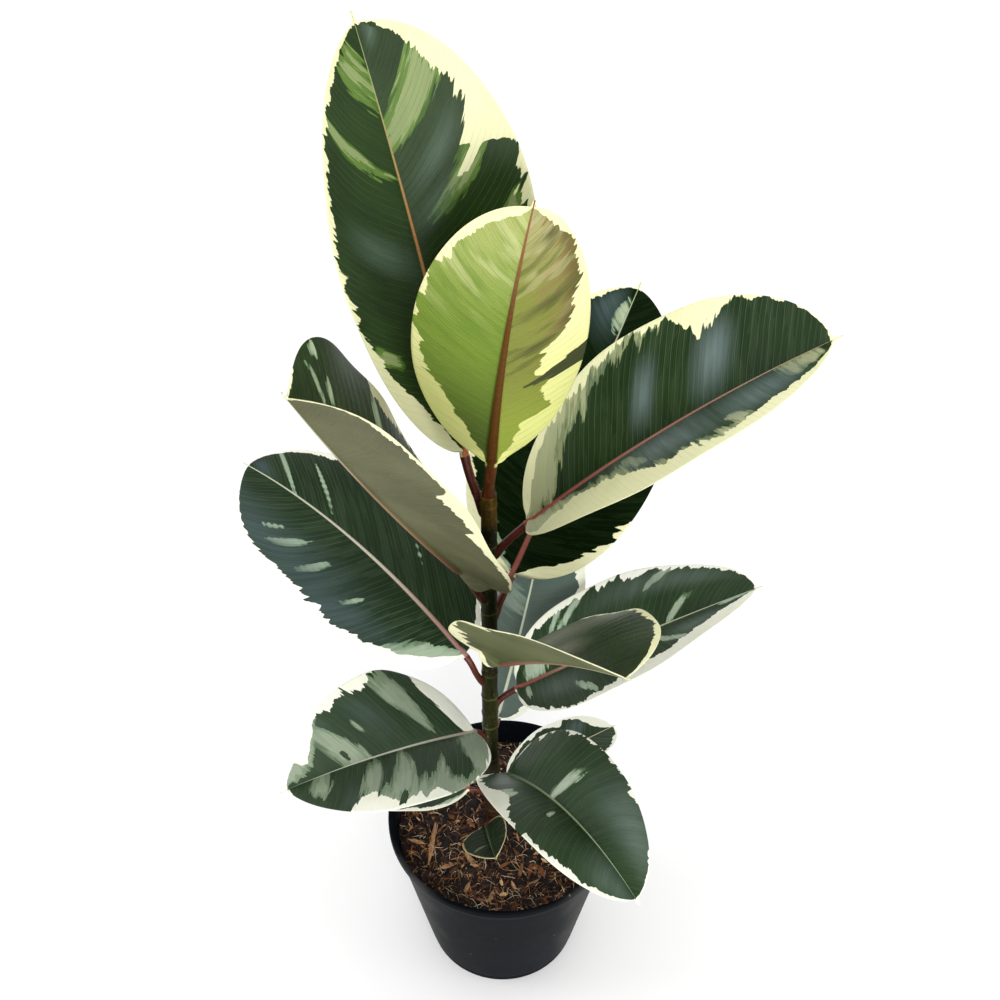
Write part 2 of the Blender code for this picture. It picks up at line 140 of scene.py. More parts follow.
class Graph:
    """The node tree of one material."""

    def __init__(self, name: str) -> None:
        """Start a named material with a Principled shader."""
        self.material = bpy.data.materials.new(name)
        self.material.use_nodes = True
        self.tree = self.material.node_tree
        self.shader = self.tree.nodes["Principled BSDF"]

    def node(
        self,
        kind: str,
        settings: Optional[Mapping[str, object]] = None,
        values: Optional[Mapping[Union[str, int], object]] = None,
    ) -> bpy.types.Node:
        """Add a node.

        Args:
            kind: Blender's name for the node's type.
            settings: Properties of the node, which are set first.
            values: A value, a socket or a Value for each input, by its name or number.

        Returns:
            The node.
        """
        made = self.tree.nodes.new(kind)
        for key, setting in (settings or {}).items():
            setattr(made, key, setting)
        for key, value in (values or {}).items():
            self.feed(made.inputs[key], value)
        return made

    def feed(self, socket: bpy.types.NodeSocket, value: object) -> None:
        """Link a socket or a Value to an input, or set the input to a constant or a screen colour."""
        if isinstance(value, Value):
            self.tree.links.new(value.socket, socket)
        elif isinstance(value, bpy.types.NodeSocket):
            self.tree.links.new(value, socket)
        else:
            socket.default_value = tint(value) if isinstance(value, str) else value

    def math(self, operation: str, *numbers: Number) -> Value:
        """Add a Math node that works on the given numbers."""
        made = self.node("ShaderNodeMath", {"operation": operation}, dict(enumerate(numbers)))
        return Value(self, made.outputs[0])

    def mix(self, share: Number, first: Tint, second: Tint) -> bpy.types.NodeSocket:
        """Mix two colours: the first at a share of 0, the second at a share of 1."""
        settings = {"data_type": "RGBA"}
        return self.node("ShaderNodeMix", settings, {0: share, 6: first, 7: second}).outputs[2]

    def coats(self, colour: Tint, *coats: tuple[Number, Tint]) -> Tint:
        """Lay more colours over a first one, in order, each as its share and its colour."""
        for share, coat in coats:
            colour = self.mix(share, colour, coat)
        return colour

    def vector(self, x: Number, y: Number, z: Number = 0.0) -> bpy.types.NodeSocket:
        """Join three numbers in one vector."""
        return self.node("ShaderNodeCombineXYZ", {}, {0: x, 1: y, 2: z}).outputs[0]

    def stored(self, name: str) -> Value:
        """Read a number that the mesh stores at its points."""
        return Value(self, self.node("ShaderNodeAttribute", {"attribute_name": name}).outputs["Fac"])

    def parts(self, place: bpy.types.NodeSocket) -> list[Value]:
        """Split a vector into its three numbers."""
        return [Value(self, output) for output in self.node("ShaderNodeSeparateXYZ", {}, {0: place}).outputs]

    def place(self, name: str) -> list[Value]:
        """Read the two coordinates of one of the mesh's maps."""
        return self.parts(self.node("ShaderNodeUVMap", {"uv_map": name}).outputs[0])[:2]

    def solid_place(self) -> bpy.types.NodeSocket:
        """Give the point's own place on the object, in metres."""
        return self.node("ShaderNodeTexCoord").outputs["Object"]

    def noise(self, place: Tint, scale: float = 1.0, detail: float = 2.0, roughness: float = 0.5) -> Value:
        """Add a Noise texture, about 0.5 on average, with octaves of finer noise as detail says."""
        values = {"Vector": place, "Scale": scale, "Detail": detail, "Roughness": roughness}
        return Value(self, self.node("ShaderNodeTexNoise", {}, values).outputs[0])

    def speckle(self, scale: float, detail: float, roughness: float = 0.5) -> Value:
        """Add noise that is fixed to the object, with so many features per metre."""
        return self.noise(self.solid_place(), scale, detail, roughness)

    def bump(self, height: Value, depth: float) -> bpy.types.NodeSocket:
        """Turn a height, as a share of a depth in metres, into a tilt of the surface."""
        return self.node("ShaderNodeBump", {}, {"Distance": depth, "Height": height}).outputs[0]

    def dress(
        self, colour: Tint, roughness: Number, normal: Optional[Tint] = None, gloss: float = 0.5
    ) -> bpy.types.Material:
        """Feed the Principled shader.

        Args:
            colour: The base colour.
            roughness: The roughness.
            normal: A tilted normal.
            gloss: The strength of mirror reflections.

        Returns:
            The material.
        """
        self.feed(self.shader.inputs["Base Color"], colour)
        self.feed(self.shader.inputs["Roughness"], roughness)
        if normal is not None:
            self.feed(self.shader.inputs["Normal"], normal)
        self.shader.inputs["Specular IOR Level"].default_value = gloss
        return self.material


# Finishes of the leaves


@dataclass(frozen=True)
class BladeFinish:
    """The waxy skin of a variegated blade: dark, grey-green and cream zones with edges along the veins.

    The screen colours are those of the zones, and rib is the midrib at its base, middle and tip.
    seed is the leaf's own number, which shifts its noises. jag is how ragged the edges are, core
    how pale the middle of a grey-green patch is, sheen how strong the painted soft reflections are,
    and gloss the strength of mirror reflections.
    """

    seed: float
    dark: str = "213a1a"
    deep: str = "172c12"
    mid: str = "4c6745"
    pale: str = "8a9d7c"
    cream: str = "f0eec0"
    stain: str = "d3d795"
    line: str = "6f8c62"
    under: str = "57563b"
    under_light: str = "66634a"
    rib: tuple[str, str, str] = ("a8524c", "b9826c", "c9cfae")
    veins_per_dm: float = 22.0
    jag: float = 1.0
    core: float = 0.25
    sheen: float = 0.5
    # The colour of the painted reflections.
    sheen_tint: str = "5c7070"
    gloss: float = 0.2

    def zones(self, graph: Graph) -> dict[str, Value]:
        """Turn the smooth fields stored on the mesh into crisp zones with toothed edges.

        Args:
            graph: The material's node tree.

        Returns:
            Masks of the zones by name, and the noises that cut their edges.
        """
        along, across = graph.place("veins")
        reach = abs(across)
        side = across.rise(-0.001, 0.001) * 9.0 + self.seed
        teeth = graph.noise(graph.vector(along * 27.0, reach * 5.0, side), detail=3.0)
        lobes = graph.noise(graph.vector(along * 10.0, reach * 3.2, side + 31.0), detail=2.0)
        steps = graph.noise(graph.vector(along * 17.0, reach * 3.4, side + 77.0), detail=3.0)
        streaks = graph.noise(graph.vector(along * 40.0, reach * 1.6, side + 57.0), detail=2.0)
        splinters = graph.noise(graph.vector(along * 62.0, reach * 6.0, side + 5.0), detail=2.0)
        edge = ((teeth - 0.5) * 0.26 + (lobes - 0.5) * 0.30) * self.jag
        ragged = (teeth - 0.5) * 0.44 + (steps - 0.5) * 0.42 + (splinters - 0.5) * 0.26
        soft = 0.95 + (streaks - 0.5) * 0.9 + (lobes - 0.5) * 0.8
        pale_field = graph.stored("pale")
        return {
            "cream": (graph.stored("cream") + edge).rise(-0.006, 0.006),
            "pale": (pale_field + ragged).rise(-0.008, 0.008),
            "core": (pale_field - 0.10 + ragged * 1.3 + (lobes - 0.5) * 0.3).rise(-0.015, 0.015),
            "mid": (pale_field + ragged * 0.6 + (lobes - 0.5) * 0.45 + 0.03).rise(-0.010, 0.010),
            "dark": (graph.stored("dark") + ragged).rise(-0.008, 0.008),
            "rib": graph.stored("rib"),
            # Painted reflections, drawn out into soft bands along the veins.
            "sheen": (graph.stored("sheen") * soft).at_least(0.0),
            "lobes": lobes,
            "steps": steps,
            "streaks": streaks,
        }

    def veins(self, graph: Graph) -> tuple[Value, Value]:
        """Draw the main side veins and the finer ones between them, each from 0 to 1."""
        along, across = graph.place("veins")
        drift = graph.noise(graph.vector(along * 4.0, abs(across) * 2.0, self.seed + 11.0), detail=1.0) * 1.6
        main = (along * self.veins_per_dm + drift).lines(0.075)
        fine = (along * self.veins_per_dm * 3.0 + drift * 2.0).lines(0.2)
        return main, fine

    def rib_colour(self, graph: Graph) -> bpy.types.NodeSocket:
        """Shade the midrib from its base through its middle to its tip."""
        share, _ = graph.place("leaf")
        base, middle, tip = self.rib
        return graph.coats(base, (share.rise(0.05, 0.45), middle), (share.rise(0.5, 0.95), tip))

    def green(self, graph: Graph, zones: Mapping[str, Value]) -> bpy.types.NodeSocket:
        """Colour the dark middle of the blade."""
        cloud = graph.speckle(18.0, 2.0).rise(0.35, 0.65)
        sectors = zones["steps"].rise(0.50, 0.53) * 0.07 + zones["streaks"].rise(0.4, 0.7) * 0.03
        return graph.coats(self.dark, (cloud, self.deep), (sectors, self.mid))

    def upper(self) -> bpy.types.Material:
        """Make the upper face's material."""
        graph = Graph(f"blade_upper_{self.seed:g}")
        zones = self.zones(graph)
        main, fine = self.veins(graph)
        pale = graph.coats(self.pale, (zones["lobes"].rise(0.48, 0.54) * 0.3, self.mid),
                           (zones["core"] * self.core, self.cream))
        cream = graph.mix(graph.speckle(30.0, 3.0).rise(0.4, 0.8) * 0.25, self.cream, self.stain)
        faint = graph.speckle(26.0, 1.0).rise(0.25, 0.7)
        vein = (main * 0.24 + fine * 0.1) * (1.0 - zones["cream"] * 0.85) * (0.35 + faint * 0.65)
        colour = graph.coats(
            self.green(graph, zones),
            (zones["mid"], self.mid),
            (zones["pale"], pale),
            (zones["cream"], cream),
            (zones["dark"], self.green(graph, zones)),
            (vein, self.line),
            # Painted reflections, kept off the cream.
            (zones["sheen"] * self.sheen * (1.0 - zones["cream"]), self.sheen_tint),
            (zones["rib"], self.rib_colour(graph)),
        )
        grain = graph.speckle(420.0, 2.0)
        height = main * 0.5 + fine * 0.1 + grain * 0.14 + zones["streaks"] * 0.12
        roughness = 0.36 + grain * 0.1 + zones["cream"] * 0.08 + zones["streaks"] * 0.04
        return graph.dress(colour, roughness, graph.bump(height, 0.25 * MM), gloss=self.gloss)

    def lower(self) -> bpy.types.Material:
        """Make the under face's material: the same zones, dull khaki where the upper face is dark."""
        graph = Graph(f"blade_lower_{self.seed:g}")
        zones = self.zones(graph)
        main, fine = self.veins(graph)
        colour = graph.coats(
            self.under,
            (graph.speckle(22.0, 3.0).rise(0.3, 0.7), self.under_light),
            (zones["streaks"].rise(0.3, 0.8) * 0.25, self.under_light),
            (zones["mid"] * 0.6, "7d7d5c"),
            (zones["pale"] * 0.6, "93936f"),
            (zones["cream"], "dfdcb4"),
            ((main * 0.5 + fine * 0.3) * 0.22, "98957a"),
            (zones["rib"], graph.mix(0.25, self.rib_colour(graph), "6c5a3c")),
        )
        grain = graph.speckle(500.0, 2.0)
        height = main * 0.45 + fine * 0.3 + grain * 0.2
        return graph.dress(colour, 0.5 + grain * 0.1, graph.bump(height, 0.25 * MM), gloss=0.2)


@dataclass(frozen=True)
class YoungBladeFinish(BladeFinish):
    """The newest blade: light green on one half, olive turning brown on the other, with a cream edge."""

    def young(self, name: str, glow: float) -> bpy.types.Material:
        """Make the material of either face, paler by a glow from 0 to 1."""
        graph = Graph(name)
        zones = self.zones(graph)
        main, fine = self.veins(graph)
        share, half = graph.place("leaf")
        outer = abs(half - 0.5) * 2.0
        steps, lobes, streaks = zones["steps"], zones["lobes"], zones["streaks"]
        green = graph.coats(
            "3a5400",
            (share.rise(0.02, 0.45), "6c8820"),
            (share.rise(0.5, 0.95), "9ea85e"),
            ((1.0 - steps.rise(0.36, 0.56)) * 0.5, "54780e"),
            (lobes.rise(0.5, 0.62) * share.rise(0.45, 0.8) * 0.5, "c4c88c"),
        )
        brown = graph.mix(outer.rise(0.55, 0.85), "7e6e3c", "5e4a1c")
        flame = (outer + (steps - 0.5) * 1.8 + (streaks - 0.5) * 0.7).rise(0.5, 0.64)
        olive = graph.coats(
            "8a9a30",
            (share.rise(0.1, 0.4), "747a2a"),
            (share.rise(0.68, 0.92), "98925e"),
            (share.rise(0.32, 0.46) * flame, brown),
            ((1.0 - steps.rise(0.38, 0.5)) * share.rise(0.2, 0.4) * 0.6, "45480f"),
            (lobes.rise(0.52, 0.6) * share.rise(0.5, 0.75) * 0.45, "aca67a"),
        )
        colour = graph.coats(
            olive,
            (half.rise(0.495, 0.505), green),
            # On the newest blade the sheen zone lays soft dark olive bands in the sheen tint.
            (zones["sheen"].at_most(1.0) * self.sheen, self.sheen_tint),
            (zones["cream"], graph.mix(share.rise(0.1, 0.8), "e2e58e", "f0ebb6")),
            (zones["dark"], "1d2805"),
            ((main * 0.2 + fine * 0.1) * (1.0 - zones["cream"] * 0.8) * 0.6, "c0cb84"),
            (glow, "d8dca6"),
            (zones["rib"], self.rib_colour(graph)),
        )
        grain = graph.speckle(420.0, 2.0)
        height = main * 0.5 + fine * 0.25 + streaks * 0.6 + grain * 0.1
        return graph.dress(colour, 0.42 + grain * 0.1, graph.bump(height, 0.4 * MM), gloss=0.12)

    def upper(self) -> bpy.types.Material:
        """Make the upper face's material."""
        return self.young("young_blade_upper", 0.0)

    def lower(self) -> bpy.types.Material:
        """Make the under face's material."""
        return self.young("young_blade_lower", 0.06)


@dataclass(frozen=True)
class PetioleFinish:
    """A smooth petiole: one colour with darker and lighter streaks along it."""

    name: str
    colour: str
    shade: str
    light: str

    def material(self) -> bpy.types.Material:
        """Make the material."""
        graph = Graph(self.name)
        along, around = graph.place("veins")
        streak = graph.noise(graph.vector(along * 3.0, around * 90.0, 3.0), detail=3.0)
        speck = graph.speckle(300.0, 2.0)
        colour = graph.coats(self.shade, (streak.rise(0.35, 0.6), self.colour),
                             (speck.rise(0.58, 0.72) * 0.5, self.light))
        return graph.dress(colour, 0.42 + speck * 0.1, graph.bump(streak * 0.6 + speck * 0.4, 0.3 * MM))


# Leaves

# A boundary beyond the margin, for a half without the zone, and the power that squares a blotch's oval.
NO_ZONE = ((0.0, 2.0), (1.0, 2.0))
PATCH_POWER = 2.6


@dataclass(frozen=True)
class Patch:
    """A blotch drawn out along a side vein.

    along and across place its middle as shares of the blade's length and half width, with across
    negative on the left half. reach is half its length along the vein, as a share of the half
    width, and breadth is half its breadth, as a share of the blade's length. slant turns it from
    the vein towards the tip: a share of the length for each whole half width. flare broadens it
    towards the margin: by that share at the end of its reach.
    """

    tone: Tone
    along: float
    across: float
    reach: float
    breadth: float
    slant: float = 0.0
    flare: float = 0.0


def patches(**places: Sequence[tuple[float, ...]]) -> tuple[Patch, ...]:
    """Give blotches by tone, each as its along, across, reach, breadth and perhaps slant and flare."""
    return tuple(Patch(Tone(tone), *place) for tone, group in places.items() for place in group)


@dataclass(frozen=True)
class Leaf:
    """One leaf: lengths in millimetres, angles in degrees, pairs as (left half, right half).

    node is the height of the petiole's foot on the stem and base is where the blade begins.
    heading is the compass angle of the midrib from +X, pitch its rise, and droop, sweep and
    twist are how far pitch, heading and roll change from base to tip. fold lifts each half at
    the midrib, closing changes the fold along the leaf, and curl turns the half on to its edge.
    roundness holds the outline's exponents at the base and at the tip. stoutness thickens the
    petiole and the midrib, rib_taper is how fast the midrib narrows, and lean holds for each
    half how far its veins lean towards the tip at the base and how much more they do at the tip.
    The cream and pale zones of each half begin where their pairs say: (share of the length, share
    of the half width), and the whole tip is cream from cream_tip on.

    quilt is the height of the pillows between the veins, and vein_bow bends the veins further
    towards the tip. ripple is the height of the margin's waves on a blade 120 mm wide, and ripples
    their number. At the shares of the length opened and folded, the petiole's round loops have
    become flat and folded ones. The loops lie closer before opened and beyond tip_begins. wrap is
    how far a face reaches round the petiole on either side of its middle, and flatness how thin it
    gets there, with 1 for a true circle. The petiole begins inside the stem, by side_sink or on the
    top by top_sink, and leaves it steeper than the straight way, though not beyond steepest.
    """

    name: str
    replaces: str
    node: float
    base: tuple[float, float, float]
    length: float
    width: float
    heading: float
    pitch: float
    droop: float
    sweep: float
    roll: float
    twist: float
    fold: tuple[float, float]
    closing: tuple[float, float]
    curl: tuple[float, float]
    roundness: tuple[float, float]
    left_cream: Pairs
    right_cream: Pairs
    patches: tuple[Patch, ...]
    blade: BladeFinish
    left_pale: Pairs = NO_ZONE
    right_pale: Pairs = NO_ZONE
    petiole: PetioleFinish = PetioleFinish("red_petiole", "66281c", "3a150d", "8c4e3a")
    stoutness: float = 1.0
    rib_taper: float = 1.15
    lean: tuple[tuple[float, float], tuple[float, float]] = ((0.12, 1.1), (0.12, 1.1))
    slot: str = "variegated_leaf"
    station_spacing: float = 1.35
    petiole_rings: int = 18
    midrib_steps: int = 400
    blade_columns: int = 19
    rib_columns: tuple[float, ...] = (0.25, 0.5, 0.74, 0.95, 1.2, 1.6)
    half_thickness: float = 0.36
    margin_half_thickness: float = 0.2
    vein_spacing: float = 8.7
    quilt: float = 0.1
    vein_bow: float = 0.15
    cream_tip: float = 0.972
    ripple: float = 1.2
    ripples: float = 2.5
    end_loops: int = 14
    opened: float = 0.03
    folded: float = 0.01
    tip_begins: float = 0.94
    wrap: float = 78.0
    flatness: float = 0.95
    side_sink: float = 1.6
    top_sink: float = 4.0
    steeper: float = 10.0
    steepest: float = 58.0

    @property
    def petiole_radius(self) -> float:
        """The petiole's radius, in metres."""
        return (1.0 + 0.0065 * self.length) * self.stoutness * MM

    @property
    def columns(self) -> int:
        """How many points a face has across."""
        return 2 * (len(self.rib_columns) + self.blade_columns) + 1

    @property
    def turn(self) -> np.ndarray:
        """The angle of each column round a petiole's face, in radians."""
        return np.radians(np.linspace(-self.wrap, self.wrap, self.columns))

    def axes(self, along: np.ndarray) -> tuple[np.ndarray, np.ndarray, np.ndarray]:
        """Give the blade's directions at shares of its length.

        Args:
            along: The shares.

        Returns:
            The midrib's direction, the upper normal and the right-hand side.
        """
        heading = np.radians(self.heading + self.sweep * along)
        pitch = np.radians(self.pitch - self.droop * along)
        roll = np.radians(self.roll + self.twist * along)[:, None]
        level = np.zeros_like(heading)
        flat = np.stack([np.cos(heading), np.sin(heading), level], axis=1)
        up = np.array([[0.0, 0.0, 1.0]])
        forward = flat * np.cos(pitch)[:, None] + up * np.sin(pitch)[:, None]
        level_normal = up * np.cos(pitch)[:, None] - flat * np.sin(pitch)[:, None]
        level_side = np.stack([np.sin(heading), -np.cos(heading), level], axis=1)
        side = level_side * np.cos(roll) + level_normal * np.sin(roll)
        normal = level_normal * np.cos(roll) - level_side * np.sin(roll)
        return forward, normal, side

    def midrib(self, along: np.ndarray) -> np.ndarray:
        """Give points of the midrib at shares of the blade's length."""
        grid = np.linspace(0.0, 1.0, self.midrib_steps + 1)
        forward, _, _ = self.axes((grid[:-1] + grid[1:]) / 2.0)
        line = np.vstack([np.zeros(3), np.cumsum(forward, axis=0)]) * self.length * MM / self.midrib_steps
        places = [np.interp(along, grid, line[:, axis]) for axis in range(3)]
        return np.stack(places, axis=1) + np.array(self.base) * MM

    def half_width(self, along: np.ndarray) -> np.ndarray:
        """Give half the blade's width: an oval with its own roundness at each end, and a short drip tip."""
        low, high = self.roundness
        widest = low / (low + high)
        share = np.clip(along / 0.975, 0.0, 1.0)
        oval = self.width / 2.0 * MM * (share / widest) ** low * ((1.0 - share) / (1.0 - widest)) ** high
        left = (1.0 - along) / 0.1
        drip = np.where(along < 0.9, self.petiole_radius * (1.0 - along), (0.6 + 2.4 * left) * MM)
        return np.maximum(oval, drip)

    def rib_radius(self, along: np.ndarray) -> np.ndarray:
        """Give half the midrib's breadth, in metres."""
        return 0.35 * MM + 0.8 * self.petiole_radius * (1.0 - along) ** self.rib_taper

    def stations(self) -> np.ndarray:
        """Give the shares of the blade's length that have a loop, closer at both ends."""
        middle = max(24, round(self.length / self.station_spacing))
        base = self.opened * np.linspace(0.0, 1.0, self.end_loops)[:-1] ** 1.6
        tip = np.linspace(self.tip_begins, 1.0, self.end_loops)[1:]
        return np.concatenate([base, np.linspace(self.opened, self.tip_begins, middle), tip])

    def shares_across(self, along: np.ndarray, opening: np.ndarray) -> np.ndarray:
        """Give the columns' places across: even round a petiole, close by the rib on a blade.

        Args:
            along: Shares of the blade's length.
            opening: How far each loop has opened from a round petiole to a flat blade.

        Returns:
            A row of shares from -1 to 1 for each loop.
        """
        near = self.rib_radius(along)[:, None] * np.array(self.rib_columns)[None, :]
        rib = near / self.half_width(along)[:, None]
        rib = rib * np.minimum(1.0, 0.55 / rib[:, -1:])
        steps = np.linspace(0.0, 1.0, self.blade_columns + 1)[1:]
        outer = rib[:, -1:] + (1.0 - rib[:, -1:]) * (1.0 - (1.0 - steps) ** 1.2)[None, :]
        right = np.hstack([rib, outer])
        flat = np.hstack([-right[:, ::-1], np.zeros((len(along), 1)), right])
        return (1.0 - opening[:, None]) * np.sin(self.turn)[None, :] + opening[:, None] * flat

    def vein_place(self, along: np.ndarray, across: np.ndarray) -> np.ndarray:
        """Give how far from the blade's base, in metres, the side vein through a point leaves the midrib."""
        reach = np.abs(across) * self.half_width(along)
        left, right = (low + more * along**3 for low, more in self.lean)
        lean = np.where(across > 0.0, right, left)
        return along * self.length * MM - lean * reach - self.vein_bow * reach**2 / (self.width * MM / 2.0)

    def blade_rings(self, along: np.ndarray) -> tuple[np.ndarray, np.ndarray]:
        """Give the loops round the blade: upper face from left to right, right edge, lower face, left edge.

        Args:
            along: Shares of the blade's length.

        Returns:
            The points, and the share across of each.
        """
        opening = smooth(along / self.opened)
        folding = smooth(along / self.folded)[:, None]
        half = self.half_width(along)[:, None]
        across = self.shares_across(along, opening)
        ends = np.ones((len(along), 1))
        across = np.hstack([-ends, across, ends])
        out = np.abs(across)
        right = across > 0.0
        _, normal, side = self.axes(along)
        row = along[:, None]
        pairs = (self.closing, self.fold, self.curl)
        closing, fold, curl = (np.where(right, pair[1], pair[0]) for pair in pairs)
        fold = np.radians(fold + (row - 0.5) * closing) * folding
        curl = np.radians(curl) * folding
        curl = np.where(np.abs(curl) < 0.001, 0.001, curl)
        slope = fold + curl * out
        lateral = np.sign(across) * half * (np.sin(slope) - np.sin(fold)) / curl
        rise = half * (np.cos(fold) - np.cos(slope)) / curl
        crest = 4.0 * row * (1.0 - row)
        wave = np.sin(2.0 * math.pi * self.ripples * row + 0.37 * self.node + 1.9 * right)
        rise = rise + self.ripple * MM * self.width / 120.0 * crest * out**2 * wave
        pillow = np.cos(2.0 * math.pi * self.vein_place(row, across) / (self.vein_spacing * MM))
        rise = rise - self.quilt * MM * pillow * smooth(out * 4.0) * smooth((1.0 - out) * 5.0) * crest
        centre = self.midrib(along)[:, None] + lateral[..., None] * side[:, None]
        centre = centre + rise[..., None] * normal[:, None]
        sideways = -(np.sign(across) * np.sin(slope))[..., None]
        facing = sideways * side[:, None] + np.cos(slope)[..., None] * normal[:, None]
        facing /= np.linalg.norm(facing, axis=2)[..., None]
        outward = np.cross(self.axes(along)[0][:, None], facing) * np.sign(across)[..., None]
        upper, lower = self.thickness(along, out, opening)
        top = (centre + facing * upper[..., None])[:, 1:-1]
        bottom = (centre - facing * lower[..., None])[:, 1:-1]
        round_edge = (centre + outward * self.margin_half_thickness * MM)[:, [0, -1]]
        points = np.concatenate([top, round_edge[:, 1:], bottom[:, ::-1], round_edge[:, :1]], axis=1)
        shares = np.hstack([across[:, 1:-1], ends, across[:, -2:0:-1], -ends])
        return points, shares

    def thickness(
        self, along: np.ndarray, out: np.ndarray, opening: np.ndarray
    ) -> tuple[np.ndarray, np.ndarray]:
        """Give how far the two faces stand from the middle surface.

        Args:
            along: Shares of the blade's length.
            out: Shares of its half width, without sign.
            opening: How far each loop has opened from the round petiole.

        Returns:
            The upper face's and the lower face's distance, in metres.
        """
        row, flat = along[:, None], opening[:, None]
        change = self.margin_half_thickness - self.half_thickness
        thin = self.half_thickness + change * smooth((out - 0.8) / 0.2)
        disc = self.petiole_radius * np.sqrt(1.0 - self.flatness * np.minimum(out, 1.0) ** 2)
        place = out * self.half_width(along)[:, None] / self.rib_radius(along)[:, None]
        core = np.sqrt(np.clip(1.0 - place**2, 0.0, 1.0))
        height = 0.15 * MM + 1.25 * self.petiole_radius * (1.0 - row) ** 1.3
        ridge = np.exp(-((place / 0.55) ** 2)) - 1.3 * np.exp(-(((place - 1.15) / 0.4) ** 2))
        groove = 0.3 * MM * (1.0 - row) * ridge
        upper = (1.0 - flat) * disc + flat * (thin * MM + groove)
        lower = (1.0 - flat) * disc + flat * (thin * MM + height * core)
        return upper, lower

    def petiole_rings_points(self) -> np.ndarray:
        """Give the loops of the petiole, which bends from inside the stem to the blade's direction."""
        axis = stem_centre(self.node * MM)
        end = np.array(self.base) * MM
        if self.node * MM >= STEM_TOP:
            start = axis - np.array([0.0, 0.0, self.top_sink * MM])
            outward = np.array([0.0, 0.0, 1.0])
        else:
            flat = end - axis
            flat[2] = 0.0
            flat /= np.linalg.norm(flat)
            start = axis + flat * (stem_radius(self.node * MM) - self.side_sink * MM)
            climb = end - start
            slope = math.atan2(climb[2], math.hypot(climb[0], climb[1]))
            angle = min(slope + math.radians(self.steeper), math.radians(self.steepest))
            outward = flat * math.cos(angle) + np.array([0.0, 0.0, math.sin(angle)])
        forward, normal, _ = (direction[0] for direction in self.axes(np.zeros(1)))
        span = np.linalg.norm(end - start)
        handles = np.array([start, start + outward * span * 0.4, end - forward * span * 0.35, end])
        share = np.linspace(0.0, 1.0, self.petiole_rings + 1)[:-1, None]
        left = 1.0 - share
        weights = np.hstack([left**3, 3.0 * share * left**2, 3.0 * share**2 * left, share**3])
        slopes = np.hstack([3.0 * left**2, 6.0 * share * left, 3.0 * share**2])
        centre = weights @ handles
        direction = slopes @ np.diff(handles, axis=0)
        direction /= np.linalg.norm(direction, axis=1)[:, None]
        upward = normal - direction * (direction @ normal)[:, None]
        upward /= np.linalg.norm(upward, axis=1)[:, None]
        side = np.cross(direction, upward)
        swell = 1.0 + 0.32 * (1.0 - smooth(share / 0.3)) + 0.12 * smooth((share - 0.8) / 0.2)
        radius = (self.petiole_radius * swell)[:, :, None]
        across = np.concatenate([np.sin(self.turn), [1.0], np.sin(self.turn[::-1]), [-1.0]])
        lift = np.sqrt(1.0 - self.flatness * np.sin(self.turn) ** 2)
        lift = np.concatenate([lift, [0.0], -lift[::-1], [0.0]])
        spread = across[None, :, None] * side[:, None] + lift[None, :, None] * upward[:, None]
        return centre[:, None] + spread * radius

    def field(self, along: np.ndarray, across: np.ndarray, tone: Tone) -> np.ndarray:
        """Work out how deep each point lies inside a zone, before its edge is cut.

        Args:
            along: Shares of the blade's length.
            across: Shares of its half width.
            tone: The zone.

        Returns:
            A number for each point, above 0 inside the zone.
        """
        depth = np.full(along.shape, -1.0 if tone is not Tone.SHEEN else 0.0)
        if tone in (Tone.CREAM, Tone.PALE):
            edges = [getattr(self, f"{side}_{tone.value}") for side in ("left", "right")]
            left, right = (np.interp(along, *zip(*edge)) for edge in edges)
            depth = np.abs(across) - np.where(across > 0.0, right, left)
        vein = self.vein_place(along, across) / (self.length * MM)
        for patch in self.patches:
            if patch.tone is not tone:
                continue
            place = np.array([patch.along]), np.array([patch.across])
            middle = self.vein_place(*place)[0] / (self.length * MM)
            further = np.abs(across) - abs(patch.across)
            breadth = patch.breadth * np.clip(1.0 + patch.flare * further / patch.reach, 0.1, None)
            beside = np.abs(vein - middle - patch.slant * further) / breadth
            beyond = np.abs(further) / patch.reach
            off = (beside**PATCH_POWER + beyond**PATCH_POWER) ** (1.0 / PATCH_POWER)
            here = np.where(across * patch.across > 0.0, 1.0 - off, -1.0)
            # Sheen patches are soft painted reflections, with soft edges.
            if tone is Tone.SHEEN:
                depth = np.maximum(depth, smooth(here))
            else:
                depth = np.maximum(depth, here * max(0.3, 0.8 * patch.reach))
        if tone is Tone.CREAM:
            depth = np.maximum(depth, (along - self.cream_tip) * 12.0)
        return depth

    def build(self) -> bpy.types.Object:
        """Make the leaf's mesh, with the maps and fields that its finish reads."""
        along = self.stations()
        blade, across = self.blade_rings(along)
        petiole = self.petiole_rings_points()
        rings = np.concatenate([petiole, blade])
        count = rings.shape[1]
        points = np.vstack([rings.reshape(-1, 3), rings[0].mean(axis=0), rings[-1].mean(axis=0)])
        ends = np.array([0.0, 1.0])
        before = np.repeat(np.linspace(-0.1, 0.0, len(petiole)), count)
        share = np.concatenate([before, np.repeat(along, count), ends])
        place = np.concatenate([np.tile(across[0], len(petiole)), across.ravel(), np.zeros(2)])
        clipped = np.clip(share, 0.0, 1.0)
        made = loft(self.name, points, len(rings), count)
        veins = np.where(share < 0.0, share * self.length * MM, self.vein_place(clipped, place))
        add_map(made.data, "leaf", share, 0.5 + 0.5 * place)
        add_map(made.data, "veins", veins * 10.0, place * self.half_width(clipped) * 10.0)
        for tone in Tone:
            add_field(made.data, tone.value, self.field(clipped, place, tone))
        nearness = np.abs(place) * self.half_width(clipped) / self.rib_radius(clipped)
        add_field(made.data, "rib", 1.0 - smooth((nearness - 0.55) / 0.45))
        self.dress(made, len(petiole), count)
        return made

